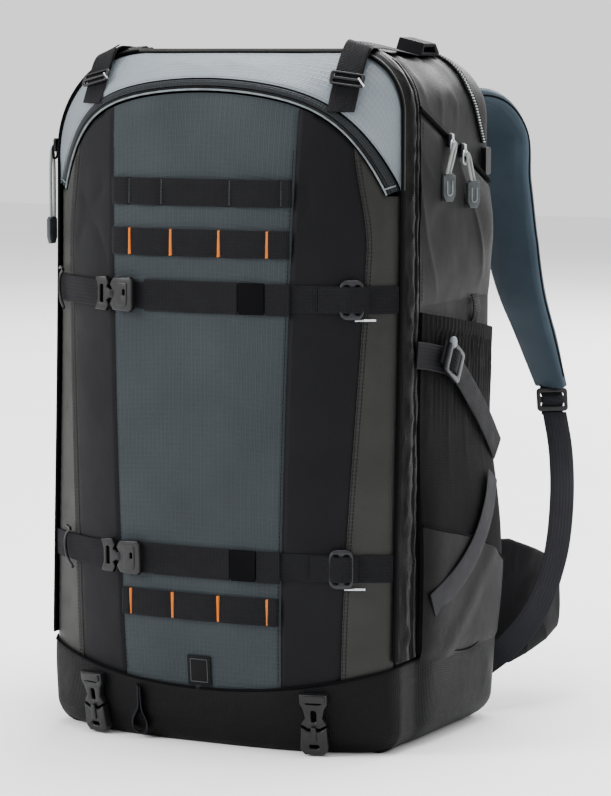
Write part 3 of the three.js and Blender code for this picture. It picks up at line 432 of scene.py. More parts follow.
# ---- meshes ----
class Solid:
    """Points, faces and weave coordinates of one piece, gathered before it becomes a mesh."""

    def __init__(self, look):
        self.points, self.faces, self.woven = [], [], []
        self.look = look

    def face(self, corners, woven):
        self.faces.append(corners)
        self.woven.append(woven)

    def rings(self, rings, caps=True, flat_caps=False):
        """Skins a row of rings. Weave coordinates run along the rows and round the rings."""
        start, count = len(self.points), len(rings[0])
        for ring in rings:
            self.points.extend(ring)
        middle = rings[len(rings) // 2]
        around = [0.0]
        for k in range(count):
            around.append(around[-1] + (middle[(k + 1) % count] - middle[k]).length)
        quarter = max(1, count // 4)
        along = [0.0]
        for a, b in zip(rings, rings[1:]):
            along.append(along[-1] + max((b[k] - a[k]).length for k in range(0, count, quarter)))
        for i in range(len(rings) - 1):
            for k in range(count):
                a, b = start + i * count + k, start + i * count + (k + 1) % count
                woven = [(along[i], around[k]), (along[i], around[k + 1])]
                woven += [(along[i + 1], around[k + 1]), (along[i + 1], around[k])]
                self.face((a, b, b + count, a + count), woven)
        if not caps:
            return
        for first, ring in ((start, rings[0]), (start + (len(rings) - 1) * count, rings[-1])):
            if flat_caps:
                order = range(first, first + count)
                self.face(tuple(order), [(0.0, around[k]) for k in range(count)])
                continue
            self.points.append(sum(ring, Vector()) / count)
            for k in range(count):
                corners = (first + k, first + (k + 1) % count, len(self.points) - 1)
                self.face(corners, [(0.0, around[k]), (0.0, around[k + 1]), (2.0, around[k])])

    def strip_caps(self, start, count, rings):
        """Closes a sheet's two ends with a row of narrow faces each."""
        end = start + (rings - 1) * count
        for base in (start, end):
            for k in range(count // 2 - 1):
                far = count - 1 - k
                corners = (base + k, base + k + 1, base + far - 1, base + far)
                self.face(corners, [(0.0, 0.0), (0.0, 1.0), (1.0, 1.0), (1.0, 0.0)])

    def sheet(self, us, vs, place, near, far):
        """A closed sheet over a surface: place(u, v, out), between the depths near and far."""
        start = len(self.points)
        rings = []
        for u in us:
            outer = [place(u, v, far(u, v) if callable(far) else far) for v in vs]
            inner = [place(u, v, near) for v in reversed(vs)]
            rings.append(outer + inner)
        self.rings(rings, caps=False)
        self.strip_caps(start, 2 * len(vs), len(rings))
        return self

    def tube(self, points, radius, sides=8, flat=1.0):
        """A round, or flattened, rod along points."""
        rings = []
        normal = None
        for i, p in enumerate(points):
            before, after = points[max(0, i - 1)], points[min(len(points) - 1, i + 1)]
            tangent = (after - before).normalized()
            if normal is None:
                normal = UP if abs(tangent.z) < 0.9 else Vector((1, 0, 0))
            normal = (normal - tangent * normal.dot(tangent)).normalized()
            side = tangent.cross(normal)
            ring = []
            for k in range(sides):
                angle = 2 * math.pi * k / sides
                ring.append(p + normal * (radius * flat * math.sin(angle)) + side * (radius * math.cos(angle)))
            rings.append(ring)
        self.rings(rings)
        return self

    def ribbon(self, centres, acrosses, width, thick, bow=0.0):
        """Webbing with soft edges. centres and acrosses go in step, and bow rounds it across."""
        rings = []
        last = len(centres) - 1
        section = [(-1, 0.25), (-0.9, 0.85), (-0.45, 1), (0, 1), (0.45, 1), (0.9, 0.85), (1, 0.25)]
        section += [(1, -0.25), (0.9, -0.85), (0.45, -1), (0, -1), (-0.45, -1), (-0.9, -0.85), (-1, -0.25)]
        for i, centre in enumerate(centres):
            tangent = (centres[min(last, i + 1)] - centres[max(0, i - 1)]).normalized()
            across = acrosses[i].normalized()
            out = tangent.cross(across).normalized()
            offsets = [(s * width / 2, h * thick / 2 + bow * (1 - s * s)) for s, h in section]
            rings.append([centre + across * aside + out * lift for aside, lift in offsets])
        self.rings(rings, flat_caps=True)
        return self

    def dashes(self, line, normals, pitch=3.8, long=2.8, wide=0.7, high=0.4):
        """A row of stitches: short threads that lie along a line."""
        travelled, target = 0.0, pitch / 2
        for i in range(len(line) - 1):
            a, b = line[i], line[i + 1]
            length = (b - a).length
            while length > 1e-6 and travelled + length >= target:
                share = (target - travelled) / length
                centre = a.lerp(b, share)
                self.thread(centre, (b - a) / length, normals[i], long, wide, high)
                target += pitch
            travelled += length

    def thread(self, centre, along, normal, long, wide, high):
        """One stitch, which dips into the cloth at both ends."""
        side = along.cross(normal).normalized() * (wide / 2)
        base = len(self.points)
        for share, rise in ((-0.5, -0.25), (-0.25, 0.7), (0.25, 0.7), (0.5, -0.25)):
            p = centre + along * (long * share) + normal * (high * rise)
            thin = 0.6 if abs(share) == 0.5 else 1.0
            self.points.extend([p - side * thin, p + normal * (high * 0.5 * thin), p + side * thin])
        for i in range(3):
            for k in range(2):
                a = base + i * 3 + k
                woven = [(i, k), (i, k + 1), (i + 1, k + 1), (i + 1, k)]
                self.face((a, a + 1, a + 4, a + 3), woven)
            a = base + i * 3
            self.face((a + 2, a, a + 3, a + 5), [(0, 0), (0, 1), (1, 1), (1, 0)])
        self.face((base, base + 2, base + 1), [(0, 0), (0, 1), (1, 1)])
        self.face((base + 9, base + 10, base + 11), [(0, 0), (0, 1), (1, 1)])

    def make(self, name, kind, stands_for=(), sharp=40):
        """The piece as an object that rides on the body. kind is not used."""
        mesh = bpy.data.meshes.new(name)
        mesh.from_pydata([p * MM for p in self.points], [], self.faces)
        layer = mesh.uv_layers.new(name="weave")
        at = 0
        for woven in self.woven:
            for u, v in woven:
                layer.data[at].uv = (u * MM, v * MM)
                at += 1
        mesh.materials.append(LOOKS[self.look])
        made = bmesh.new()
        made.from_mesh(mesh)
        bmesh.ops.recalc_face_normals(made, faces=made.faces)
        made.to_mesh(mesh)
        made.free()
        mesh.polygons.foreach_set("use_smooth", [True] * len(mesh.polygons))
        mesh.set_sharp_from_angle(angle=math.radians(sharp))
        return finish_piece(bpy.data.objects.new(name, mesh), stands_for)


def finish_piece(piece, stands_for=()):
    if piece.name not in bpy.context.scene.collection.objects:
        bpy.context.scene.collection.objects.link(piece)
    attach(piece, "root")
    if stands_for:
        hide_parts(*([stands_for] if isinstance(stands_for, str) else stands_for))
    return piece


def basis(at, across, up):
    """The frame of a flat piece: across, up and out."""
    x = across.normalized()
    z = x.cross(up).normalized()
    y = z.cross(x)
    return Matrix.Translation(at) @ Matrix((x, y, z)).transposed().to_4x4()


def rounded(width, height, radius, x=0.0, y=0.0, steps=5):
    points = []
    for sx, sy, start in ((1, -1, -90), (1, 1, 0), (-1, 1, 90), (-1, -1, 180)):
        for share in shares(steps):
            angle = math.radians(start + 90 * share)
            px = sx * (width / 2 - radius) + radius * math.cos(angle)
            points.append((x + px, y + sy * (height / 2 - radius) + radius * math.sin(angle)))
    return points


def plate(loops, thick, frame_at, bevel=0.8, low=0.0):
    """A moulded plate: the first loop is its outline and the rest are holes. It rises from low."""
    data = bpy.data.curves.new("plate", "CURVE")
    data.dimensions, data.fill_mode = "2D", "BOTH"
    data.extrude = max(0.01, (thick / 2 - bevel)) * MM
    data.bevel_depth, data.bevel_resolution, data.offset = bevel * MM, 2, -bevel * MM
    for loop in loops:
        line = data.splines.new("POLY")
        line.points.add(len(loop) - 1)
        for point, (x, y) in zip(line.points, loop):
            point.co = (x * MM, y * MM, 0, 1)
        line.use_cyclic_u = True
    holder = bpy.data.objects.new("plate", data)
    bpy.context.scene.collection.objects.link(holder)
    shape = holder.evaluated_get(bpy.context.evaluated_depsgraph_get())
    mesh = bpy.data.meshes.new_from_object(shape)
    bpy.data.objects.remove(holder)
    bpy.data.curves.remove(data)
    lift = Matrix.Translation((0, 0, (low + thick / 2) * MM))
    place = frame_at.copy()
    place.translation = place.translation * MM
    mesh.transform(place @ lift)
    return mesh


def assemble(name, parts, stands_for=(), sharp=35):
    """Joins (mesh, look) pairs into one piece."""
    made = bmesh.new()
    looks = []
    for mesh, look in parts:
        if look not in looks:
            looks.append(look)
        mesh.materials.clear()
        for face in mesh.polygons:
            face.material_index = 0
        before = len(made.faces)
        made.from_mesh(mesh)
        made.faces.ensure_lookup_table()
        for face in made.faces[before:]:
            face.material_index = looks.index(look)
        bpy.data.meshes.remove(mesh)
    bmesh.ops.remove_doubles(made, verts=made.verts, dist=1e-6)
    bmesh.ops.recalc_face_normals(made, faces=made.faces)
    whole = bpy.data.meshes.new(name)
    made.to_mesh(whole)
    made.free()
    for look in looks:
        whole.materials.append(LOOKS[look])
    whole.polygons.foreach_set("use_smooth", [True] * len(whole.polygons))
    whole.set_sharp_from_angle(angle=math.radians(sharp))
    return finish_piece(bpy.data.objects.new(name, whole), stands_for)


# ---- camera, light and floor ----
# The photograph's camera: angles in degrees, distances in millimetres, the rest in its pixels.
PHOTO_TALL = 796
CAMERA_AZIMUTH, CAMERA_HEIGHT = 27, 6.2
CAMERA_TARGET, CAMERA_DISTANCE = Vector((0, -8, 310)), 3050
FOCAL_PIXELS, SHIFT_RIGHT, SHIFT_UP = 3200, 40, 2
SENSOR_WIDE = 36

# Each lamp's place and size in metres, its power in watts and where it points.
BAG_MIDDLE = (0, 0, 0.32)
LAMPS = {
    "key_left": ((-2.2, -2.2, 1.9), (1.5, 1.8), 130, BAG_MIDDLE),
    "fill_right": ((2.8, -1.2, 1.2), (1.2, 2.0), 8, BAG_MIDDLE),
    "top": ((0.1, 0.2, 2.4), (1.6, 1.2), 85, BAG_MIDDLE),
    "rear_right": ((2.2, 1.8, 1.5), (1.0, 1.6), 22, BAG_MIDDLE),
    "floor_rear": ((0.0, 4.0, 2.6), (4.0, 2.0), 320, (0.0, 2.0, 0.0)),
}
WORLD_LIGHT = 1.3
FLOOR_REACH = 9.0


def add_camera():
    azimuth, height = math.radians(CAMERA_AZIMUTH), math.radians(CAMERA_HEIGHT)
    level = math.cos(height)
    aim = Vector((math.sin(azimuth) * level, -math.cos(azimuth) * level, math.sin(height)))
    data = bpy.data.cameras.new("camera")
    data.sensor_width = SENSOR_WIDE
    data.lens = FOCAL_PIXELS * SENSOR_WIDE / PHOTO_TALL
    data.shift_x, data.shift_y = SHIFT_RIGHT / PHOTO_TALL, SHIFT_UP / PHOTO_TALL
    camera = bpy.data.objects.new("camera", data)
    camera.location = (CAMERA_TARGET + aim * CAMERA_DISTANCE) * MM
    camera.rotation_euler = (-aim).to_track_quat("-Z", "Y").to_euler()
    bpy.context.scene.collection.objects.link(camera)
    bpy.context.scene.camera = camera


def add_light(name, at, size, power, target):
    data = bpy.data.lights.new(name, "AREA")
    data.shape, data.size, data.size_y = "RECTANGLE", size[0], size[1]
    data.energy = power
    lamp = bpy.data.objects.new(name, data)
    lamp.location = at
    lamp.rotation_euler = (Vector(target) - Vector(at)).to_track_quat("-Z", "Y").to_euler()
    bpy.context.scene.collection.objects.link(lamp)


def add_studio():
    for name, lamp in LAMPS.items():
        add_light(name, *lamp)
    world = bpy.data.worlds.new("studio")
    world.use_nodes = True
    world.node_tree.nodes["Background"].inputs["Color"].default_value = (1, 1, 1, 1)
    world.node_tree.nodes["Background"].inputs["Strength"].default_value = WORLD_LIGHT
    bpy.context.scene.world = world
    mesh = bpy.data.meshes.new("floor")
    corners = [(x * FLOOR_REACH, y * FLOOR_REACH, 0) for x, y in ((-1, -1), (1, -1), (1, 1), (-1, 1))]
    mesh.from_pydata(corners, [], [(0, 1, 2, 3)])
    floor_look = Look("floor_paper", "ececec", "f4f4f4", 0.9)
    floor_look.colour(floor_look.noise(400, 2.0)).bump(floor_look.noise(3, 2.0), 0.05)
    mesh.materials.append(floor_look.material)
    floor = bpy.data.objects.new("floor", mesh)
    bpy.context.scene.collection.objects.link(floor)


add_camera()


# ---- cords ----
CORD_RADIUS = 1.5
PULLS = [
    {"key": "a", "side": 1, "along": 60, "below": 81, "drop": 44, "lean": -15, "seat": 2.0, "hang": 11},
    {"key": "b", "side": 1, "along": 88, "below": 91, "drop": 42, "lean": 7, "seat": 2.2, "hang": 14},
    {"key": "d", "side": -1, "along": -26, "below": 88, "drop": 82, "lean": 0, "seat": 3.4, "hang": 13},
]
SLIDER_THICK = 5.0
CORD_LOOP = [(-3, 0), (-3.4, 0.4), (-2.6, 0.85), (0, 1), (2.6, 0.85), (3.4, 0.4), (3, 0)]


def add_pull(pull):
    """A slider, the cord that hangs through its ring, and the moulded tab on the cord."""
    key, side = pull["key"], pull["side"]
    y, z = SEAM_Y + pull["along"], PACK_HEIGHT - pull["below"]
    hang, lean, drop = pull["hang"], pull["lean"], pull["drop"]
    base = HALF + GAP + FABRIC + pull["seat"]
    face, up = Vector((0, side, 0)), Vector((0, 0, 1))

    at = basis(Vector((side * base, y, z)), face, up)
    body = plate([rounded(10, 13, 2.5), rounded(4.4, 3.4, 1.2, 0, -2.4)], 3.2, at, 0.8)
    bridge = plate([rounded(4, 11, 1.6)], 2.0, at, 0.6, 3.0)
    ring_at = at @ Matrix.Translation((0, -6.5, 3.4))
    ring = plate([rounded(11, 15, 5), rounded(6.6, 10.4, 3.2)], 1.6, ring_at, 0.6)
    look = "dark_metal" if side < 0 else "metal"
    parts = [(body, "dark_metal"), (bridge, look), (ring, look)]
    assemble("slider_" + key + "_dressed", parts, "slider_" + key)

    start = base + SLIDER_THICK + GAP + CORD_RADIUS
    foot = z - drop + 13
    stops = []
    for spread, share in CORD_LOOP:
        x = lerp(HALF + hang, start, share)
        stops.append(Vector((side * x, y + lean * (1 - share) + spread, lerp(foot, z - 3, share))))
    route = curve(stops, 36)
    cord = Solid("cord").tube(route, CORD_RADIUS, sides=12)
    cord = cord.make("pull_cord_" + key, "pull_cord", "cord_" + key, 60)

    turned = Vector((0.5, 0.87, 0)) if side > 0 else face
    tab_at = basis(Vector((side * (HALF + hang - 1), y + lean, z - drop)), turned, up)
    shield = [(-7, 12), (7, 12), (7, -6), (4, -12), (-4, -12), (-7, -6)]
    horseshoe = [(3.6 * math.cos(math.pi * s), -3.5 - 3.6 * math.sin(math.pi * s)) for s in shares(10)]
    outer = [(3.6, 7.0)] + horseshoe + [(-3.6, 7.0), (-2.2, 7.0)]
    inner = [(2.2 * math.cos(math.pi * (1 - s)), -3.5 - 2.2 * math.sin(math.pi * s)) for s in shares(10)]
    relief = outer + inner + [(2.2, 7.0)]
    parts = [(plate([shield], 4.0, tab_at, 0.9), "tab"), (plate([relief], 1.0, tab_at, 0.25, 3.7), "piping")]
    parts.append((plate([rounded(10, 3, 1.2, 0, 12.2)], 4.6, tab_at, 0.8, -0.3), "tab"))
    tab = assemble("pull_tab_" + key, parts, "tab_" + key)
    path = [tuple(p * MM) for p in route]
    length = sum((b - a).length for a, b in zip(route, route[1:])) * MM
    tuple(path[0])


# ---- the body ----
def outline(side_in, top_in, base_in, sides=26, tops=26, corners=12):
    half, top, base = HALF - side_in, PACK_HEIGHT - top_in, FABRIC + 2 * GAP + base_in
    base_round = max(6.0, BASE_CORNER - (side_in + base_in) / 2)

    def corner(side, radius, level, start):
        points = []
        for share in shares(corners):
            angle = math.radians(start + 90 * share)
            x = side * (half - radius) + radius * math.cos(angle)
            points.append((x, level + radius * math.sin(angle)))
        return points

    def between(a, b, count):
        return [(lerp(a[0], b[0], s), lerp(a[1], b[1], s)) for s in shares(count)[1:-1]]

    rounds = {side: max(6.0, TOP_ROUND[side] - (side_in + top_in) / 2) for side in (1, -1)}
    low_right = corner(1, base_round, base + base_round, -90)
    high_right = corner(1, rounds[1], top - rounds[1], 0)
    high_left = corner(-1, rounds[-1], top - rounds[-1], 90)
    low_left = corner(-1, base_round, base + base_round, 180)
    points = low_right + between(low_right[-1], high_right[0], sides)
    points += high_right + between(high_right[-1], high_left[0], tops)
    points += high_left + between(high_left[-1], low_left[0], sides)
    return points + low_left + between(low_left[-1], low_right[0], tops)


def add_shell():
    """The padded body: rings from the back, round its edge, along the sides and back inside."""
    middle = Vector((0, 0, PACK_HEIGHT / 2))

    def ring(depth, wall, y):
        insets = [wall + draw_in(r - wall, depth) for r in (BACK_ROUND_SIDE, BACK_ROUND_TOP, BACK_ROUND_BASE)]
        points = []
        for x, z in outline(*insets):
            p = Vector((x, y, z))
            if not wall:
                away = (p - middle).normalized()
                upper = ease(flap_z(y) + 4, flap_z(y) + 30, z) if y < BACK_Y - 20 else 0
                fold = 2.6 * creases(p, 48, 3.0) + 1.1 * waves(p, 24, 8.0)
                p += away * (upper * (fold - 0.2) * ease(SEAM_Y, SEAM_Y + 20, y) * (1 - ease(32, 50, y)))
            points.append(p)
        return points

    depths = [0, 0.6, 2, 4, 7, 11, 15, 20, 26, 33, 40, 45]
    outside = [ring(d, 0, BACK_Y - d) for d in depths]
    outside += [ring(45, 0, lerp(BACK_Y - 45, SEAM_Y, s)) for s in shares(30)[1:]]
    inside = [ring(d, WALL, BACK_Y - WALL - d) for d in depths[::3]]

    def rim_y(x, z):
        return (front_y(x, z) + BOOT_TUCK if z < LID_FOOT else edge_y(z)) + LID_THICK + GAP

    rim = [rim_y(x, z) for x, z in outline(0, 0, 0)]
    lips = [[Vector((x, y, z)) for (x, z), y in zip(outline(w, w, w), rim)] for w in (0, WALL)]
    shell = Solid("side")
    shell.rings(outside + lips + inside[::-1])
    shell.make("shell_cloth", "shell_fabric", "main_shell", 60)


def panel_half(z):
    return lerp(PANEL_HALF_BASE, PANEL_HALF_TOP, z / PACK_HEIGHT)


def strip_x(z):
    """Where the black panel meets the grey strip at the lid's side."""
    return lerp(STRIP_BASE, STRIP_TOP + 8, ease(0, 1, z / 560)) - 12 * ease(460, 560, z)


def lid_top(x):
    return max(ARCH_SPRING - ARCH_BAND / 2, arch_z(x, -ARCH_BAND - 2 * GAP)) - 2 * GAP


def add_lid_panel(name, look, columns, across_at, stands_for, depth_at, kind):
    def place(row, column, out):
        z, x = row * ARCH_SPRING, 0.0
        for _ in range(4):
            x = across_at(column, z)
            z = lerp(LID_FOOT, lid_top(x), row)
        return front(x, z, out)

    rows = shares(110)
    limit = 1.0

    def far(row, column):
        p = place(row, column, 0)
        edge = min(row, 1 - row) * 560
        share = (column - columns[0]) / (columns[-1] - columns[0])
        width = abs(across_at(columns[-1], p.z) - across_at(columns[0], p.z))
        seam = min(edge, min(share, 1 - share) * abs(width))
        tuck = -1.5 * (1 - ease(0, 4, seam)) + 0.3 * math.sin(p.z / 1.9) * (1 - ease(1, 9, seam))
        return min(limit, tuck + depth_at(p) * ease(2, 18, seam))

    lid = Solid(look).sheet(rows, columns, place, -LID_THICK, far)
    lid.make(name, kind, stands_for, 60)


def add_lid():
    middle = [2 * s - 1 for s in shares(56)]
    wide = shares(34)

    def soft(p):
        return 0.5 * waves(p, 90, 1.0) + 0.3 * waves(p, 34, 2.0)

    def drawn(p):
        """The black panels pull towards the arch in slanting folds."""
        slant = Vector((p.x * 0.5 + p.z * 0.45, 0, p.z * 0.6 - p.x * 0.7))
        return soft(p) - 2.0 * creases(slant, 46, 5.0, 3.0) * ease(300, 500, p.z)

    def shiny(p):
        flat = Vector((p.x * 0.35, 0, p.z))
        return 1.2 * waves(flat, 30, 4.0) - 1.4 * creases(flat, 40, 7.0, 3.0)

    def between(c, z):
        return c * (panel_half(z) - SEAM_GAP / 2)

    add_lid_panel("lid_ripstop", "ripstop", middle, between, "lid_centre", soft, "ripstop")
    for suffix, side in (("right", 1), ("left", -1)):
        def inner(c, z, side=side):
            return side * lerp(panel_half(z) + SEAM_GAP / 2, strip_x(z) - SEAM_GAP / 2, c)

        def outer(c, z, side=side):
            return side * lerp(strip_x(z) + SEAM_GAP / 2, LID_HALF, c)

        add_lid_panel("lid_black_" + suffix, "black", wide, inner, "lid_" + suffix, drawn, "panel_black")
        add_lid_panel("lid_strip_" + suffix, "olive", shares(16), outer, (), shiny, "gusset_olive")


def stitched(name, look, lines, normal_at, **sizes):
    seam = Solid(look)
    for line in lines:
        seam.dashes(line, [normal_at(p) for p in line], **sizes)
    return seam.make(name, "webbing", (), 60)


def front_normal(p):
    return front_frame(p.x, p.z)[2]


def over_front(x, z, lift):
    return front(x, z) + front_normal(front(x, z)) * lift


def add_lid_stitches():
    lines = []
    for side in (1, -1):
        for at, inset in ((panel_half, -1.8), (strip_x, 1.8), (strip_x, 4.4)):
            zs = [lerp(BOOT_FRONT + 12, min(lid_top(at(540)), 560) - 8, s) for s in shares(150)]
            lines.append([front(side * (at(z) + inset), z, 0.15) for z in zs])
    stitched("lid_stitches", "thread_black", lines, front_normal, pitch=3.6, long=2.6, wide=0.8, high=0.5)


TAPE_LOW = -6.6


def add_arch():
    """The zip over the lid: tape, chain, piping, and the bar at each end."""
    along = [(1 - math.cos(math.pi * s)) / 2 for s in shares(150)]

    def place(share, across, out):
        x, z = arch(share, across)
        return front(x, z, out)

    def tape_height(share, across):
        t = (across - TAPE_LOW) / 6.0
        return -0.4 + 1.3 * math.sin(math.pi * clamp(t)) ** 0.6

    across = [lerp(TAPE_LOW, -0.7, s) for s in shares(10)]
    tape = Solid("tape").sheet(along, across, place, -FABRIC - GAP, tape_height)
    tape.make("arch_tape", "zip_tape", "arch_zip_band", 60)
    channel = [lerp(-10.4, -6.7, s) for s in shares(4)]
    Solid("shadow").sheet(along, channel, place, -FABRIC - GAP, -1.4).make("arch_channel", "zip_tape")
    line = [place(s, -9.9, 0.0) for s in along]
    Solid("piping").tube(line, 0.95, sides=10).make("arch_piping", "zip_tape")
    teeth = Solid("teeth_black")
    for i in range(len(along) * 2):
        share = (i + 0.5) / (len(along) * 2)
        at, ahead = place(share, -7.9, -1.0), place(min(1, share + 0.002), -7.9, -1.0)
        teeth.thread(at, Vector((0, -1, 0)).cross(ahead - at).normalized(), Vector((0, -1, 0)), 2.6, 1.3, 0.9)
    teeth.make("arch_teeth", "zip_tape")
    for suffix, side in (("right", 1), ("left", -1)):
        share = 0.955 if side > 0 else 0.045
        ends = [place(share, a, 1.2) for a in (-9.6, -0.8)]
        bar = Solid("piping")
        bar.tube([ends[0].lerp(ends[1], s) for s in shares(6)], 0.9, flat=0.7)
        bar.make("arch_bar_" + suffix, "zip_tape")


def rim_stations(side, from_z, steps, corners):
    """Points round the rim on one side as (x, z, angle out)."""
    radius = TOP_ROUND[side]
    level, inner = PACK_HEIGHT - radius, HALF - radius
    found = [(side * HALF, lerp(from_z, level, s), 0.0) for s in shares(steps)[:-1]]
    for share in shares(corners):
        angle = share * math.pi / 2
        found.append((side * (inner + radius * math.cos(angle)), level + radius * math.sin(angle), angle))
    return found if side > 0 else [(x, z, math.pi - angle) for x, z, angle in found]


def rim_over(from_z, steps, corners, tops):
    left, right = HALF - TOP_ROUND[-1], HALF - TOP_ROUND[1]
    middle = [(lerp(-left, right, s), PACK_HEIGHT, math.pi / 2) for s in shares(tops)[1:-1]]
    return rim_stations(-1, from_z, steps, corners) + middle + rim_stations(1, from_z, steps, corners)[::-1]


def rim_point(station, y, out):
    x, z, angle = station
    return Vector((x + out * math.cos(angle), y, z + out * math.sin(angle)))


def outward(stations):
    """The directions out of the rim at its stations."""
    return [Vector((math.cos(angle), 0, math.sin(angle))) for _, _, angle in stations]


def add_yoke():
    stations = rim_over(ARCH_SPRING, 14, 22, 44)
    lengths = [0.0]
    for a, b in zip(stations, stations[1:]):
        lengths.append(lengths[-1] + math.hypot(b[0] - a[0], b[1] - a[1]))
    total = lengths[-1]

    def place(k, across, out):
        share = lengths[k] / total
        start = front(*arch(share, 2 * SEAM_GAP))
        end = rim_point(stations[k], edge_y(stations[k][1]), -SEAM_GAP)
        angle = math.pi * (1 - share)
        lean = Vector((0.5 * math.cos(angle), -0.6, 0.8 * math.sin(angle))).normalized()
        normal = Vector((0, -1, 0)).lerp(lean, across).normalized()
        rise = 3 * math.sin(math.pi * across) * math.sin(math.pi * share)
        return start.lerp(end, across) + normal * (rise + out)

    def far(k, across):
        p = place(k, across, 0)
        tuck = -2.2 * (1 - ease(0, 0.1, across)) - 1.6 * (1 - ease(0, 0.06, 1 - across))
        fold = 0.9 * waves(p, 42, 11.0) + 0.7 * creases(Vector((p.x + p.z, 0, p.z * 2)), 60, 2.0)
        return tuck + fold * ease(0, 0.25, min(across, 1 - across)) * 0.8

    yoke = Solid("yoke").sheet(range(len(stations)), shares(26), place, -3, far)
    yoke.make("yoke_cloth", "yoke", "top_yoke", 60)
    edge = [rim_point(s, edge_y(s[1]) + 0.6, 1.2) for s in stations]
    Solid("olive").tube(edge, 1.9, sides=10).make("yoke_piping", "yoke")


def boot_plan():
    """Places round the boot, from the front's middle to the back on the right, then mirrored."""
    right = [("front", s * LID_HALF) for s in shares(34)]
    right += [("side", lerp(0, -FRONT_Y, s)) for s in (-0.97, -0.9, -0.8, -0.7)]
    right += [("side", lerp(SEAM_Y - 8, BACK_Y - BACK_ROUND_SIDE, s)) for s in shares(30)]
    right += [("corner", s * math.pi / 2) for s in shares(8)[1:]]
    right += [("back", s * (HALF - BACK_ROUND_SIDE)) for s in (0.85, 0.7, 0.55, 0.4, 0.27, 0.13)]
    return [(1, *p) for p in right] + [(1, "back", 0.0)] + [(-1, *p) for p in reversed(right[1:])]


def boot_point(place, z, out, drawn):
    side, part, at = place
    if part == "front":
        x = at - drawn * (at / LID_HALF) ** 2
        return Vector((side * x, front_y(at, z) - out - SEAM_GAP + drawn * 0.4, z))
    if part == "side":
        return Vector((side * (HALF + out + side_swell(at, z) - drawn), at, z))
    if part == "corner":
        reach = BACK_ROUND_SIDE + out - drawn
        x = HALF - BACK_ROUND_SIDE + reach * math.cos(at)
        return Vector((side * x, BACK_Y - BACK_ROUND_SIDE + reach * math.sin(at), z))
    return Vector((side * at, BACK_Y + out - drawn, z))


def boot_top(place):
    _, part, at = place
    if part == "front":
        return lerp(BOOT_FRONT, BOOT_EDGE, (at / LID_HALF) ** 2)
    if part == "side" and at < SEAM_Y:
        return BOOT_EDGE + 2
    if part == "side":
        return BOOT_SIDE + 3 * math.sin((at - SEAM_Y) / 19) - 4 * ease(70, 40, at) * ease(SEAM_Y, 0, at)
    return BOOT_SIDE


def add_boot():
    plan = boot_plan()
    outer = GAP + FABRIC

    def turned(radius, degrees, out):
        angle = math.radians(degrees)
        z, drawn = BOOT_ROUND - radius * math.sin(angle), radius * (1 - math.cos(angle))
        return [boot_point(p, z, out, drawn) for p in plan]

    def wall(share, out, soft=True):
        points = []
        for p in plan:
            z = lerp(BOOT_ROUND, boot_top(p), share)
            at = boot_point(p, z, 0, 0)
            fold, lip = 0, 0
            if soft:
                fold = (1.3 * waves(at, 60, 6.0) + 0.8 * creases(at, 70, 9.0)) * math.sin(math.pi * share)
                lip = -0.9 * ease(0.93, 1, share)
            points.append(boot_point(p, z, out + fold + lip, 0))
        return points

    steps = [90, 82, 72, 60, 48, 36, 24, 12]
    outside = [turned(BOOT_ROUND, a, outer) for a in steps] + [wall(s, outer) for s in shares(18)]
    inside = [turned(BOOT_ROUND - FABRIC, a, GAP) for a in steps[::2]]
    inside += [wall(s, GAP, False) for s in (0, 0.5, 1)]
    boot = Solid("boot")
    boot.rings(outside + inside[::-1])
    boot.make("boot_cloth", "boot", "base_boot", 60)
    top = [boot_point(p, boot_top(p) + 0.4, outer - 0.4, 0) for p in plan]
    Solid("shadow").tube(top, 1.1, sides=8).make("boot_piping", "boot")


def add_gussets():
    for suffix, side in (("right", 1), ("left", -1)):
        stations = rim_stations(side, BOOT_SIDE + 1, 90, 24)[:-1]

        def place(k, v, out, stations=stations):
            station = stations[k]
            return rim_point(station, lerp(edge_y(station[1]), SEAM_Y - SEAM_GAP, v), GAP + out)

        def far(k, v, stations=stations):
            p = place(k, v, 0)
            puff = FABRIC + 3 * math.sin(math.pi * v) - 1.2
            roll = 2.6 * math.exp(-(((v - 0.36) / 0.17) ** 2)) + 1.8 * math.exp(-(((v - 0.78) / 0.12) ** 2))
            groove = -2.6 * math.exp(-(((v - 0.6) / 0.05) ** 2))
            slant = Vector((p.x * 0.2, p.y * 0.9 + p.z * 0.55, p.z * 0.5 - p.y * 0.6))
            pinch = (1.7 * creases(slant, 17, 13.0, 2.0) + 1.0 * waves(slant, 9, 4.0)) * math.sin(math.pi * v)
            tuck = -2.4 * (1 - ease(0, 0.08, v)) - 2.0 * (1 - ease(0, 0.08, 1 - v))
            return max(0.2, puff + roll * 0.7 + groove + pinch + 0.6 * waves(p, 30, 3.0) + tuck)

        # The gussets take the far darker copy of the olive cloth: painted shade.
        roll = Solid("gusset").sheet(range(len(stations)), shares(30), place, 0, far)
        roll.make("gusset_cloth_" + suffix, "gusset_olive", "gusset_" + suffix, 60)
        seam = Solid("thread_black")
        for v in (0.52, 0.68, 0.95):
            line = [place(k, v, far(k, v) + 0.1) for k in range(len(stations))]
            seam.dashes(line, outward(stations))
        seam.make("gusset_stitches_" + suffix, "gusset_olive")
        edge = [rim_point(s, edge_y(s[1]) - 0.8, 1.0) for s in stations]
        Solid("shadow").tube(edge, 1.5, sides=8).make("lid_edge_piping_" + suffix, "gusset_olive")
        edge = [rim_point(s, SEAM_Y + 0.3, 2.0) for s in stations]
        Solid("shadow").tube(edge, 1.2, sides=8).make("side_seam_" + suffix, "gusset_olive")


def rear_zip_y(z):
    bend = (PACK_HEIGHT - REAR_ZIP_END) * 0.6
    return REAR_ZIP_Y + REAR_ZIP_DRIFT * (1 - clamp((z - REAR_ZIP_END) / bend))


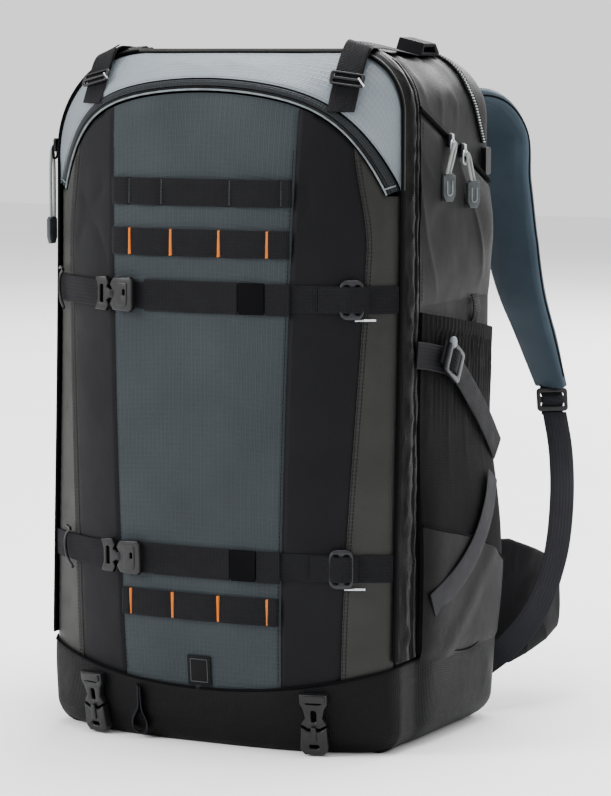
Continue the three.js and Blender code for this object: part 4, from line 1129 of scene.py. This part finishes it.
def add_rear_zip():
    stations = rim_over(REAR_ZIP_END, 16, 18, 30)

    def place(k, v, out):
        return rim_point(stations[k], rear_zip_y(stations[k][1]) + 5 * v, out)

    tape = Solid("shadow").sheet(range(len(stations)), [-1, -0.6, -0.2, 0.2, 0.6, 1], place, GAP, GAP + 1.6)
    tape.make("rear_zip_tape", "zip_tape", "rear_zip", 60)
    teeth = Solid("teeth")
    centre = [place(k, 0, GAP + 1.6) for k in range(len(stations))]
    travelled, target = 0.0, 1.0
    for k in range(len(stations) - 1):
        a, b = centre[k], centre[k + 1]
        length = (b - a).length
        while travelled + length >= target:
            share = (target - travelled) / length
            angle = lerp(stations[k][2], stations[k + 1][2], share)
            normal = Vector((math.cos(angle), 0, math.sin(angle)))
            side = (b - a).normalized().cross(normal)
            offset = 0.9 if round(target / 1.5) % 2 else -0.9
            teeth.thread(a.lerp(b, share) + side * offset, side, normal, 2.0, 0.9, 0.8)
            target += 1.5
        travelled += length
    teeth.make("rear_zip_teeth", "zip_tape")


def add_side_pockets():
    for suffix, side in (("right", 1), ("left", -1)):
        ys = [lerp(SEAM_Y, POCKET_REAR_Y, s) for s in shares(72)]

        def pocket(v, y, out, side=side):
            z = lerp(BOOT_SIDE + GAP, hem_z(y), v)
            return side_point(side, y, z, GAP + side_swell(y, z) + out)

        def far(v, y):
            z = lerp(BOOT_SIDE + GAP, hem_z(y), v)
            gather = 0.8 * math.sin(y / 1.25 + 2.2 * waves((0, y, z), 14, 1.0)) * ease(0.6, 0.95, v)
            if v > 0.955:
                return HEM_THICK + 0.5 * math.sin(y / 1.1)
            fold = 1.1 * creases(Vector((0, y * 1.2, z * 0.4)), 44, 3.0, 2.0) * ease(0.35, 0.9, v)
            smooth = 0.8 * waves((0, y, z), 60, 5.0)
            return FABRIC + gather + fold + smooth

        rows = shares(84)
        knit = Solid("stretch").sheet(rows, ys, pocket, 0, far)
        knit.make("pocket_knit_" + suffix, "stretch", "side_pocket_" + suffix, 60)

        def patch_top(y):
            return table_at(PATCH_TOP, 1, (y - SEAM_Y) / (POCKET_REAR_Y - SEAM_Y))

        def patch_at(v, y, out, side=side):
            z = lerp(BOOT_SIDE - 8, patch_top(y), v)
            tucked = 2.4 * (1 - ease(0, 0.12, v))
            return side_point(side, y, z, GAP + side_swell(y, z) + FABRIC + 1.2 - tucked + out)

        def patch_far(v, y):
            z = lerp(BOOT_SIDE - 8, patch_top(y), v)
            bend = 1.6 * math.exp(-(((y - 20 - 0.9 * (z - 120)) / 16) ** 2))
            return 0.8 + bend + 0.9 * waves((0, y, z), 50, 9.0) * math.sin(math.pi * v)

        patch = Solid("side").sheet(shares(34), ys, patch_at, -0.6, patch_far)
        patch.make("foot_patch_" + suffix, "shell_fabric")
        rim = [patch_at(1, y, 1.0) for y in ys]
        Solid("shadow").tube(rim, 0.9, sides=8).make("foot_patch_edge_" + suffix, "shell_fabric")

        def zipped(v, y, out, side=side):
            share = (y - SEAM_Y) / (POCKET_REAR_Y - SEAM_Y)
            z = lerp(HEM_FRONT_Z + 6, flap_z(y), v)
            fall = 1 - abs(2 * share - 1) ** 6
            swell = ZIP_POCKET_SWELL * max(0.0, math.sin(math.pi * v)) ** 0.7 * lerp(0.2, 1, share) * fall
            return side_point(side, y, z, GAP + swell + out)

        def zipped_far(v, y):
            p = zipped(v, y, 0)
            slant = Vector((0, p.y * 1.3 + p.z * 0.4, p.z * 0.4))
            fold = 1.6 * waves(p, 60, 7.0) + 2.0 * creases(slant, 55, 2.0, 2.0) + 0.7 * waves(p, 22, 3.0)
            return FABRIC + fold * math.sin(math.pi * v) - 1.2 * ease(0.95, 1, v)

        cloth_piece = Solid("side").sheet(shares(60), ys, zipped, 0, zipped_far)
        cloth_piece.make("zip_pocket_cloth_" + suffix, "shell_fabric", "zip_pocket_" + suffix, 60)
        def foot_band(v, y, out, side=side):
            return side_point(side, y, lerp(hem_z(y) + 1, HEM_FRONT_Z + 7, v), GAP + out)

        def band_far(v, y):
            return FABRIC + 0.5 * waves((0, y, v), 20, 3.0)

        band = Solid("side").sheet(shares(8), ys, foot_band, 0, band_far)
        band.make("zip_pocket_foot_" + suffix, "shell_fabric")
        hang = []
        for z in range(LOOP_FOOT, LOOP_FOOT + LOOP_TALL + 1, 2):
            out = GAP + FABRIC + 1.2 + 3 * math.sin(math.pi * (z - LOOP_FOOT) / LOOP_TALL)
            hang.append(side_point(side, LOOP_Y, z, out))
        loop = Solid("webbing").ribbon(hang, [Vector((0, 1, 0))] * len(hang), LOOP_WIDE, WEB_THICK)
        loop.make("side_loop_" + suffix, "webbing")
        line = [side_point(side, y, flap_z(y) + 3.4, GAP + 2.0) for y in ys]
        Solid("shadow").tube(line, 2.4, sides=10, flat=0.8).make("flap_zip_" + suffix, "zip_tape")
        line = [side_point(side, y, flap_z(y) + 9.5, GAP + 1.6) for y in ys]
        seam = Solid("thread_black")
        seam.dashes(line, [Vector((side, 0, 0))] * len(line))
        seam.make("flap_stitches_" + suffix, "shell_fabric")

        rim = rim_stations(side, HEM_FRONT_Z + 10, 60, 24)
        seam = Solid("thread_black")
        edge = [rim_point(s, SEAM_Y + 5, GAP + FABRIC + 0.5 if s[1] < FLAP_FRONT_Z - 4 else 0.4) for s in rim]
        seam.dashes(edge, outward(rim), wide=0.8, high=0.5)
        arc = rim_stations(side, REAR_ZIP_END + 4, 16, 24)
        line = [rim_point(s, rear_zip_y(s[1]) - 11, 0.8) for s in arc]
        seam.dashes(line, outward(arc), wide=0.8, high=0.5)
        seam.make("side_stitches_" + suffix, "shell_fabric")


# ---- webbing and hardware on the front ----
def add_ladders():
    lift = 1.9
    for name, z, half, tacks, thread in LADDERS:
        stops = [-half, *tacks, half]
        xs = []
        for a, b in zip(stops, stops[1:]):
            xs += [lerp(a, b, s) for s in shares(14)[:-1]]
        xs.append(half)

        def rise(x, stops=stops):
            for a, b in zip(stops, stops[1:]):
                if a <= x <= b:
                    s = (x - a) / (b - a)
                    return lift * (1 - abs(2 * s - 1) ** 4)
            return 0.0

        centres = [over_front(x, z, STRAP_LIFT + rise(x) + WEB_THICK / 2) for x in xs]
        strip = Solid("webbing").ribbon(centres, [UP] * len(xs), WEB_WIDTH, WEB_THICK)
        strip.make(name + "_webbing", "webbing", name)
        seam = Solid(thread)
        for x in tacks:
            across, up, out = front_frame(x, z)
            height = WEB_WIDTH - (2 if thread == "thread_orange" else 4)
            turns = 26 if thread == "thread_orange" else 12
            for s in shares(turns):
                at = front(x, z + height * (s - 0.5), 0) + out * (STRAP_LIFT + WEB_THICK + 0.1)
                long = 3.4 if thread == "thread_orange" else 1.6
                seam.thread(at, (across + up * 0.25).normalized(), out, long, 1.15, 0.9)
        seam.make(name + "_tacks", "webbing")


def front_strap(name, z):
    xs = [lerp(-LID_HALF, LID_HALF, s) for s in shares(110)]
    centres = []
    for x in xs:
        out = STRAP_LIFT + WEB_THICK / 2 + 0.35 * math.sin(x / 23)
        centres.append(front(x, z + 0.6 * math.sin(x / 41), 0) + front_normal(front(x, z)) * out)
    strap = Solid("webbing").ribbon(centres, [UP] * len(xs), WEB_WIDTH, WEB_THICK)
    strap.make(name + "_webbing", "webbing", name)


def front_at(x, z, lift):
    across, up, out = front_frame(x, z)
    return basis(front(x, z) + out * lift, across, up)


def add_buckle(name, x, z):
    """A side-release buckle: a hooked half, and a box with a pin in its window."""
    at = front_at(x, z, STRAP_LIFT + WEB_THICK + GAP)
    box = [(0, -15), (20, -16), (23, -13), (23, 13), (20, 16), (0, 15)]
    box += [(-4, 9), (-1, 4), (-6, 0), (-1, -4), (-4, -9)]
    parts = [(plate([box, rounded(3.2, 6, 1.4, 14, 2)], PLASTIC, at, 1.1), "plastic")]
    hooked = [(-23, -15), (-10, -16), (-7, -10), (-9, -6), (-4, -3), (-4, 3)]
    hooked += [(-9, 6), (-7, 10), (-10, 16), (-23, 15), (-20, 6), (-20, -6)]
    parts.append((plate([hooked, rounded(4, 17, 1.6, -15, 0)], PLASTIC - 1, at, 1.0), "plastic"))
    raised = [rounded(13, 22, 3, 11, 0), rounded(3.2, 6, 1.4, 14, 2)]
    parts.append((plate(raised, 1.6, at, 0.6, PLASTIC - 0.8), "plastic"))
    parts.append((plate([rounded(5, 8, 2, -1.5, 0)], 2.0, at, 0.6, PLASTIC - 1.6), "dark_metal"))
    assemble(name + "_moulded", parts, name)


def add_triglide(name, x, z):
    at = front_at(x, z, STRAP_LIFT + WEB_THICK + 0.2)
    loops = [rounded(22, 36, 7), rounded(5.4, 27, 2, -5, 0), rounded(5, 27, 2, 5.2, 0)]
    parts = [(plate(loops, 4, at, 1.2), "plastic_grey")]
    assemble(name + "_moulded", parts, name)
    fold = Solid("webbing")
    across, up, out = front_frame(x, z)
    centres = []
    for s, lift in ((-26, 0.2), (-14, 1.2), (-8.4, 3.6), (-5, 5.6), (0, 6.2), (5, 5.4), (9, 3.0), (13, 0.8)):
        centres.append(front(x + s, z) + front_frame(x + s, z)[2] * (STRAP_LIFT + WEB_THICK + 0.4 + lift))
    fold.ribbon(curve(centres, 40), [UP] * 41, WEB_WIDTH - 1.5, 1.2)
    fold.make(name + "_fold", "webbing")
    pin = Solid("metal")
    foot = front(x, z) + across * 3 - up * 18.5 + out * 3.4
    pin.tube([foot + across * (19 * s) + out * (0.6 * s) for s in shares(6)], 1.1, sides=10)
    pin.make(name + "_pin", "hard_plastic")


def add_keeper(name, x, z, wide, look, lift):
    xs = [x + wide * (s - 0.5) for s in shares(10)]
    centres = [over_front(u, z, STRAP_LIFT + WEB_THICK + lift) for u in xs]
    Solid(look).ribbon(centres, [UP] * len(xs), WEB_WIDTH + 4, 2.2).make(name, "webbing")


def add_wire_hook(name, x, z):
    """The bent wire loop that the strap's end is hooked in."""
    across, up, out = front_frame(x, z)
    start = front(x, z) + out * (STRAP_LIFT + WEB_THICK + 2.2)
    shape = [(4, 17), (-2, 13), (-6, 6), (-5, -4), (-1, -12), (6, -17), (8, -19)]
    line = curve([start + across * u + up * v for u, v in shape], 40)
    hook = Solid("dark_metal").tube(line, 1.5, sides=10)
    shape = [(-7, 18), (-3, 19.5), (3, 18)]
    hook.tube(curve([start + across * u + up * v for u, v in shape], 12), 1.3, sides=10)
    hook.make(name, "hard_plastic")


def add_front_hardware():
    for level, z, buckle_x, glide_x, hook_x, keeper_x in (
        ("upper", UPPER_STRAP_Z, -84, 142, -166, 57), ("lower", LOWER_STRAP_Z, -78, 136, -150, 48.5),
    ):
        front_strap("front_strap_" + level, z)
        add_buckle("front_buckle_" + level, buckle_x, z)
        add_triglide("triglide_" + level, glide_x, z)
        add_keeper("strap_keeper_" + level, keeper_x, z, 24, "shadow", 1.0)
        add_keeper("strap_tail_" + level, keeper_x + 24, z - 0.5, 22, "webbing", 0.4)
        add_keeper("strap_fold_" + level, keeper_x - 62, z, 96, "webbing", 0.2)
        add_wire_hook("wire_hook_" + level, hook_x, z)


def add_foot_hardware():
    lift = GAP + FABRIC + GAP
    for suffix, x in (("left", -114), ("right", 112)):
        at = front_at(x, 32, lift)
        upper = [(-13, 29), (13, 29), (13, 20), (10, 15), (8, 6), (12, 0), (6, -4), (-6, -4)]
        upper += [(-12, 0), (-8, 6), (-10, 15), (-13, 20)]
        lower = [(-12, -2), (-6, -6), (6, -6), (12, -2), (13, -24), (9, -29), (-9, -29), (-13, -24)]
        loops = [upper, rounded(15, 4, 1.8, 0, 22), rounded(5, 11, 2, 0, 8)]
        parts = [(plate(loops, 7.5, at, 1.3), "plastic")]
        parts.append((plate([lower, rounded(9, 3.6, 1.6, 0, -21)], 9, at, 1.4), "plastic"))
        parts.append((plate([rounded(5, 15, 2, 0, -9)], 2.4, at, 0.8, 8), "plastic"))
        parts.append((plate([rounded(22, 7, 2, 0, 25)], 2.4, at, 0.9, 6.6), "plastic"))
        assemble("base_buckle_moulded_" + suffix, parts, "base_buckle_" + suffix)
    across, up, out = front_frame(-67, 28)
    start = front(-67, 28) + out * (lift + 1.5)
    shape = [(2, 26), (1, 16), (-1, 4), (-8, -8), (-9, -17), (-3, -22.5)]
    shape += [(5, -20), (7, -11), (3, 2), (3.4, 16), (4, 25)]
    line = curve([start + across * u + up * v for u, v in shape], 60)
    loop = Solid("webbing_side")
    loop.ribbon(line, [(up * 0.12 + out * 1.0 + across * 0.9).normalized()] * 61, 9, 1.3)
    loop.make("base_loop_webbing", "webbing", "base_loop")
    at = front_at(0, 72, GAP)
    parts = [(plate([rounded(24, 28, 1)], 1.5, at, 0.4), "label")]
    parts.append((plate([rounded(18, 22, 1), rounded(16.6, 20.6, 0.6)], 0.5, at, 0.1, 1.3), "thread_grey"))
    assemble("label_cloth", parts, "label_tag")


# ---- straps over the top ----
TAB_X, TAB_INSET, TAB_WIDE = 124, 107, 26


def add_top_straps():
    rim_y = edge_y(PACK_HEIGHT)
    ridge_y = rim_y + 7
    for name, low_x, x, end_y, lift, sag in (
        ("top_strap_right", 131, 137, BACK_Y - 109, 8, 5), ("top_strap_left", -122, -123, rim_y + 67, 8, 5),
    ):
        half = WEB_WIDTH / 2
        seam_z = arch_z(low_x, 0) + 2
        slant = (front(low_x + half, seam_z) - front(low_x - half, seam_z)).normalized()
        out = slant.cross(Vector((0, 0, 1)))
        low = front(low_x, seam_z) + out * 2.6
        across = Vector((2 * half, 0, rim_top(x + half) - rim_top(x - half))).normalized()
        climb = slant.lerp(across, 0.5)
        level = rim_top(x)
        stops = [
            low,
            Vector((lerp(low_x, x, 0.5), lerp(low.y, rim_y, 0.55) - 7, lerp(low.z, level, 0.54))),
            Vector((x, rim_y - 5, level + lift - 2)),
            Vector((x, ridge_y + 8, level + lift)),
            Vector((x, lerp(ridge_y, end_y, 0.6), level + sag)),
            Vector((x, end_y, level + GAP + WEB_THICK / 2)),
        ]
        widths = [slant, climb, across, across, across, across]
        band = Solid("webbing").ribbon(curve(stops, 60), curve(widths, 60), WEB_WIDTH, WEB_THICK, bow=0.5)
        band.make(name + "_webbing", "webbing", name)
        second = [spline(stops, t) + Vector((0, -1.6, 1.8)) for t in [0.16 + 0.3 * s for s in shares(20)]]
        side_ways = [spline(widths, t) for t in [0.16 + 0.3 * s for s in shares(20)]]
        fold = Solid("webbing").ribbon(second, side_ways, WEB_WIDTH - 1, 1.4, bow=0.5)
        fold.make(name + "_fold", "webbing")
        glide_at = spline(stops, 0.2)
        ahead = (spline(stops, 0.24) - spline(stops, 0.16)).normalized()
        wide = spline(widths, 0.2).normalized()
        place = basis(glide_at + wide.cross(ahead) * 1.8, wide, ahead)
        loops = [rounded(32, 13, 3), rounded(25.5, 3.4, 1.4, 0, 3), rounded(25.5, 3.4, 1.4, 0, -3)]
        glide = plate(loops, 3.2, place, 1.0)
        assemble(name + "_glide", [(glide, "plastic")])
        foot = place.translation
        pin = [foot + wide * (10 + 7 * s) + ahead * (2 - 7 * s) + wide.cross(ahead) * 2.4 for s in shares(6)]
        Solid("metal").tube(pin, 1.0, sides=10).make(name + "_pin", "hard_plastic")

    lean = Vector((0.25, 0, 1))
    tab_at = basis(Vector((TAB_X, BACK_Y - TAB_INSET, rim_top(TAB_X) + FABRIC)), Vector((0, 1, 0)), lean)
    side_view = [(0, 0), (44, 0), (42, 4), (30, 12), (2, 12)]
    hollow = [(6, 3.2), (34, 3.2), (28, 8.6), (6, 8.6)]
    parts = [(plate([side_view, hollow], TAB_WIDE, tab_at, 1.0), "harness")]
    assemble("top_tab_fold", parts, "top_tab")


# ---- the harness ----
STRAP_REACH, BELT_REACH, WING_Z = 176.0, 224.0, 104.0
PAD_THICK, PAD_HALF, PAD_FOOT, PAD_DROP = 14.0, 118.0, 165.0, 65.0
STRAP_PAD_WIDTH, STRAP_PAD_THICK = 64.0, 18.0
WING_HEIGHT, WING_THICK = 124.0, 15.0
LUMBAR_THICK, LUMBAR_HALF, LUMBAR_FOOT, LUMBAR_TOP = 20.0, 92.0, 42.0, 154.0
BELT_WEB, BUCKLE_THICK = 38.0, 9.0
STRAP_STOPS = [
    (0.337, 0.0, 0.8), (0.354, 0.032, 0.859), (0.427, 0.221, 0.9125), (0.534, 0.455, 0.933),
    (0.624, 0.649, 0.92), (0.691, 0.766, 0.878), (0.736, 0.766, 0.797), (0.787, 0.753, 0.703),
    (0.837, 0.792, 0.625), (0.893, 0.89, 0.555), (0.949, 1.0, 0.475),
]
WEBBING_STOPS = [
    (1.034, 0.935, 0.375, 0.75, 0), (1.129, 0.688, 0.297, 0.75, 0), (1.18, 0.416, 0.2156, 0.75, 0),
    (1.157, 0.143, 0.144, 0.64, 0.45), (1.067, -0.026, 0.1, 0.4, 0.67),
]
WING_STOPS = [
    (0.73, 0.0625, 0), (0.899, 0.143, -1), (1.011, 0.268, -2), (1.067, 0.4375, -4), (1.056, 0.625, -8),
]
BELT_STOPS = [(0.955, 0.8125, -10), (0.685, 0.946, -11), (0.393, 0.991, -12), (0.191, 1.0, -12)]


# Webbing through an adjuster's two slots: along it, then out of it.
THREADED = [(17, -0.5), (9, -0.6), (5, 2.0), (2, 5.2), (-2, 5.2), (-5, 2.0), (-9, -0.6), (-15, -0.5)]


def pad_rings(solid, stops, widths, width, thick, steps, sides, shape_at=None, power=0.6):
    rings = []
    for t in shares(steps):
        centre = spline(stops, t)
        across = spline(widths, t).normalized()
        tangent = (spline(stops, min(1, t + 0.004)) - spline(stops, max(0, t - 0.004))).normalized()
        normal = tangent.cross(across).normalized()
        ring = []
        for k in range(sides):
            angle = 2 * math.pi * k / sides
            c, s = math.cos(angle), math.sin(angle)
            u = math.copysign(abs(c) ** power, c)
            v = math.copysign(abs(s) ** power, s)
            p = centre + across * (width(t) / 2 * u) + normal * (thick(t) / 2 * v)
            if shape_at:
                p += normal * (math.copysign(shape_at(t, u, p), v) * min(1, abs(v) * 1.5))
            ring.append(p)
        rings.append(ring)
    solid.rings(rings)
    return solid


def add_back_pads():
    def back_place(v, u, out):
        return Vector((u * PAD_HALF, BACK_Y + out, lerp(PAD_FOOT, PACK_HEIGHT - PAD_DROP, v)))

    def crown(v, u):
        rise = 0.35 + 0.65 * max(0.0, math.sin(math.pi * clamp(v, 0.02, 0.98))) ** 0.3 * (1 - u**6)
        channel = math.exp(-((u / 0.07) ** 2))
        channel += sum(math.exp(-(((v - at) / 0.018) ** 2)) for at in (0.25, 0.5, 0.75))
        p = back_place(v, u, 0)
        return GAP + PAD_THICK * rise * (1 - 0.6 * min(1, channel)) + 0.4 * waves(p, 30, 2.0) * rise

    columns = [2 * s - 1 for s in shares(60)]
    pad = Solid("mesh").sheet(shares(100), columns, back_place, GAP, crown)
    pad.make("back_pad_mesh", "harness", "back_pad", 60)

    def lumbar_place(v, u, out):
        return Vector((u * LUMBAR_HALF, BACK_Y + out, lerp(LUMBAR_FOOT, LUMBAR_TOP, v)))

    def lumbar_crown(v, u):
        rise = 0.4 + 0.6 * max(0.0, math.sin(math.pi * v)) ** 0.4 * (1 - u**6)
        channel = sum(math.exp(-(((u - at) / 0.05) ** 2)) for at in (-0.4, 0.4))
        return GAP + FABRIC + LUMBAR_THICK * rise * (1 - 0.45 * min(1, channel))

    near = GAP + FABRIC + GAP
    pad = Solid("mesh").sheet(shares(40), columns, lumbar_place, near, lumbar_crown)
    pad.make("lumbar_pad_mesh", "harness", "lumbar_pad", 60)


def add_shoulder_strap(suffix, side):
    root_y = BACK_Y + PAD_THICK - 2 * GAP + STRAP_PAD_THICK / 2

    def at(row):
        y = lerp(root_y, BACK_Y + STRAP_REACH, row[1])
        return Vector((side * row[0] * HALF, y, row[2] * PACK_HEIGHT))

    stops = [at(row) for row in STRAP_STOPS]
    widths = [Vector((1, 0, 0)) if k < 6 else Vector((1, side * -0.25, 0)) for k in range(len(stops))]

    def width(t):
        return STRAP_PAD_WIDTH * (1 if t < 0.7 else lerp(1, 0.58, (t - 0.7) / 0.3))

    def thick(t):
        return STRAP_PAD_THICK * (lerp(1, 0.6, (t - 0.9) / 0.1) if t > 0.9 else 1) - 1.4

    def soft(t, u, p):
        return 0.5 + 0.7 * waves(p, 40, 4.0) - 1.6 * math.exp(-(((abs(u) - 0.82) / 0.06) ** 2))

    pad = pad_rings(Solid("pad"), stops, widths, width, thick, 130, 44, soft)
    pad.make("shoulder_pad_" + suffix, "strap_pad", "shoulder_strap_" + suffix, 60)
    binding = Solid("shadow")
    for edge in (1, -1):
        line = []
        for t in [0.02 + 0.96 * s for s in shares(100)]:
            line.append(spline(stops, t) + spline(widths, t).normalized() * (edge * (width(t) / 2 - 0.2)))
        binding.tube(line, 1.1, sides=8)
    binding.make("shoulder_binding_" + suffix, "strap_pad")

    face = Vector((0.8, side * 0.6, 0))
    end = stops[-1]
    lock_at = basis(end + Vector((side, 0, -15)), face, Vector((side * -0.3, 0.1, 1)))
    loops = [rounded(32, 24, 4), rounded(24.5, 4, 1.5, 0, -5), rounded(24.5, 4, 1.5, 0, 5)]
    parts = [(plate(loops, 4, lock_at, 1.1), "plastic")]
    assemble("adjuster_moulded_" + suffix, parts, "strap_adjuster_" + suffix)

    through = [lock_at @ Vector((0, v, w)) for v, w in THREADED]
    woven = Solid("webbing_side").ribbon(curve(through, 50), [face] * 51, WEB_WIDTH - 2.5, 1.3)
    woven.make("adjuster_webbing_" + suffix, "webbing")

    flow, turns = [end + Vector((side * 5, -2, -27.2))], [face]
    for row in WEBBING_STOPS:
        flow.append(at(row))
        turns.append(Vector((1, side * row[3], side * -row[4])))
    flow.append(Vector((side * 0.95 * HALF, BACK_Y + GAP + FABRIC + 5 * GAP, BOOT_SIDE * 0.53)))
    turns.append(Vector((0.75, side * 0.05, side * -0.66)))
    band = Solid("webbing_side").ribbon(curve(flow, 110), curve(turns, 110), WEB_WIDTH, WEB_THICK)
    band.make("harness_webbing_" + suffix, "webbing", "strap_webbing_" + suffix)


def add_hip_wing(suffix, side):
    def at(row):
        return Vector((side * row[0] * HALF, BACK_Y + row[1] * BELT_REACH, WING_Z + row[2]))

    root = Vector((side * (LUMBAR_HALF + 1.6 * GAP), BACK_Y + LUMBAR_THICK / 2 + 6 * GAP, WING_Z))
    stops = [root] + [at(row) for row in WING_STOPS]

    def tall(t):
        return WING_HEIGHT * (lerp(1, 0.55, (t - 0.55) / 0.45) if t > 0.55 else 1)

    def soft(t, u, p):
        pleat = 1.3 * creases(Vector((p.x, p.y, p.z * 0.5)), 30, 3.0, 2.0)
        return pleat + 1.2 * waves(p, 34, 6.0) - 2.2 * math.exp(-(((u - 0.42) / 0.05) ** 2))

    def thick(t):
        return WING_THICK - 1.6

    wing = pad_rings(Solid("harness"), stops, [UP] * len(stops), tall, thick, 90, 48, soft)
    wing.make("hip_wing_cloth_" + suffix, "harness", "hip_wing_" + suffix, 60)
    start = at(WING_STOPS[-1]) + Vector((side * -0.4, 2 * GAP, 0))
    belt = [start] + [at(row) for row in BELT_STOPS]
    band = Solid("webbing_side").ribbon(curve(belt, 80), [UP] * 81, BELT_WEB, WEB_THICK)
    band.make("hip_band_" + suffix, "webbing", "hip_webbing_" + suffix)


def add_harness():
    add_back_pads()
    for suffix, side in (("right", 1), ("left", -1)):
        add_shoulder_strap(suffix, side)
        add_hip_wing(suffix, side)
    middle = Vector((0, BACK_Y + BELT_REACH - BUCKLE_THICK / 2, WING_Z - 12))
    at = basis(middle, Vector((-1, 0, 0)), UP)
    loops = [rounded(66, 50, 8), rounded(5, 38, 2, -26, 0), rounded(5, 38, 2, 26, 0)]
    parts = [(plate(loops, BUCKLE_THICK - 1, at, 1.6), "plastic")]
    parts.append((plate([rounded(34, 30, 6)], 2.4, at, 1.0, BUCKLE_THICK - 2), "plastic"))
    assemble("hip_buckle_moulded", parts, "hip_buckle")


# ---- webbing on the sides ----
# Stops as a share of the way back along the pocket, then how far below its hem or above the boot.
SIDE_STRAP = [(-0.098, 37), (0.061, 41), (0.28, 51), (0.512, 78), (0.756, 111), (0.963, 141)]
LOWER_STRAP = [(0.805, 154), (0.695, 126), (0.524, 94), (0.305, 68), (0.049, 46)]
LOCK_ALONG, LOCK_BELOW, LOCK_LIFT = 0.244, 47, 4.6


def add_side_straps():
    for suffix, side in (("right", 1), ("left", -1)):
        over = HEM_THICK + 3 * GAP

        def on(y, z, extra=0.0, side=side, over=over):
            return side_point(side, y, z, GAP + side_swell(y, z) + over + extra)

        def along(line, extra):
            centres, widths = [], []
            for i, (y, z) in enumerate(line):
                y0, z0 = line[max(0, i - 1)]
                y1, z1 = line[min(len(line) - 1, i + 1)]
                centres.append(on(y, z, extra))
                widths.append(Vector((0, z1 - z0, y0 - y1)).normalized())
            return curve(centres, 70), curve(widths, 70)

        upper = [(lerp(SEAM_Y, POCKET_REAR_Y, s), HEM_FRONT_Z - below) for s, below in SIDE_STRAP]
        centres, widths = along(upper, 2.5)
        band = Solid("webbing").ribbon(centres, widths, WEB_WIDTH, WEB_THICK)
        band.make("side_band_" + suffix, "webbing", "side_strap_" + suffix)
        low = [(lerp(SEAM_Y, POCKET_REAR_Y, s), BOOT_SIDE + above) for s, above in LOWER_STRAP]
        centres, widths = along(low, GAP)
        band = Solid("webbing_side").ribbon(centres, widths, WEB_WIDTH, WEB_THICK)
        band.make("lower_band_" + suffix, "webbing", "lower_strap_" + suffix)
        down = Vector((0, 0.86, -0.5)) * side
        up = Vector((0, 0.5, 0.86))
        lock_point = on(lerp(SEAM_Y, POCKET_REAR_Y, LOCK_ALONG), HEM_FRONT_Z - LOCK_BELOW, LOCK_LIFT)
        lock_at = basis(lock_point, down, up)
        loops = [rounded(34, 32, 5), rounded(6, 24, 2, -8, 0), rounded(6, 22, 2, 7, 0)]
        parts = [(plate(loops, 4, lock_at, 1.2), "plastic_grey")]
        parts.append((plate([rounded(11, 11, 5.4, -12, 14)], 4.4, lock_at, 1.6, 0.4), "piping"))
        assemble("side_lock_moulded_" + suffix, parts, "side_lock_" + suffix)
        through = [lock_at @ Vector((v * 1.5, 0, w)) for v, w in THREADED]
        woven = Solid("webbing").ribbon(curve(through, 50), [up] * 51, WEB_WIDTH - 3, 1.4)
        woven.make("side_lock_webbing_" + suffix, "webbing")


for pull in PULLS:
    add_pull(pull)
add_studio()
add_shell()
add_lid()
add_lid_stitches()
add_arch()
add_yoke()
add_boot()
add_gussets()
add_rear_zip()
add_side_pockets()
add_ladders()
add_front_hardware()
add_foot_hardware()
add_top_straps()
add_harness()
add_side_straps()

dressed = {"slider_c": "dark_metal"}
for node, look in dressed.items():
    piece = bpy.data.objects[node]
    piece.data.materials.clear()
    piece.data.materials.append(LOOKS[look])
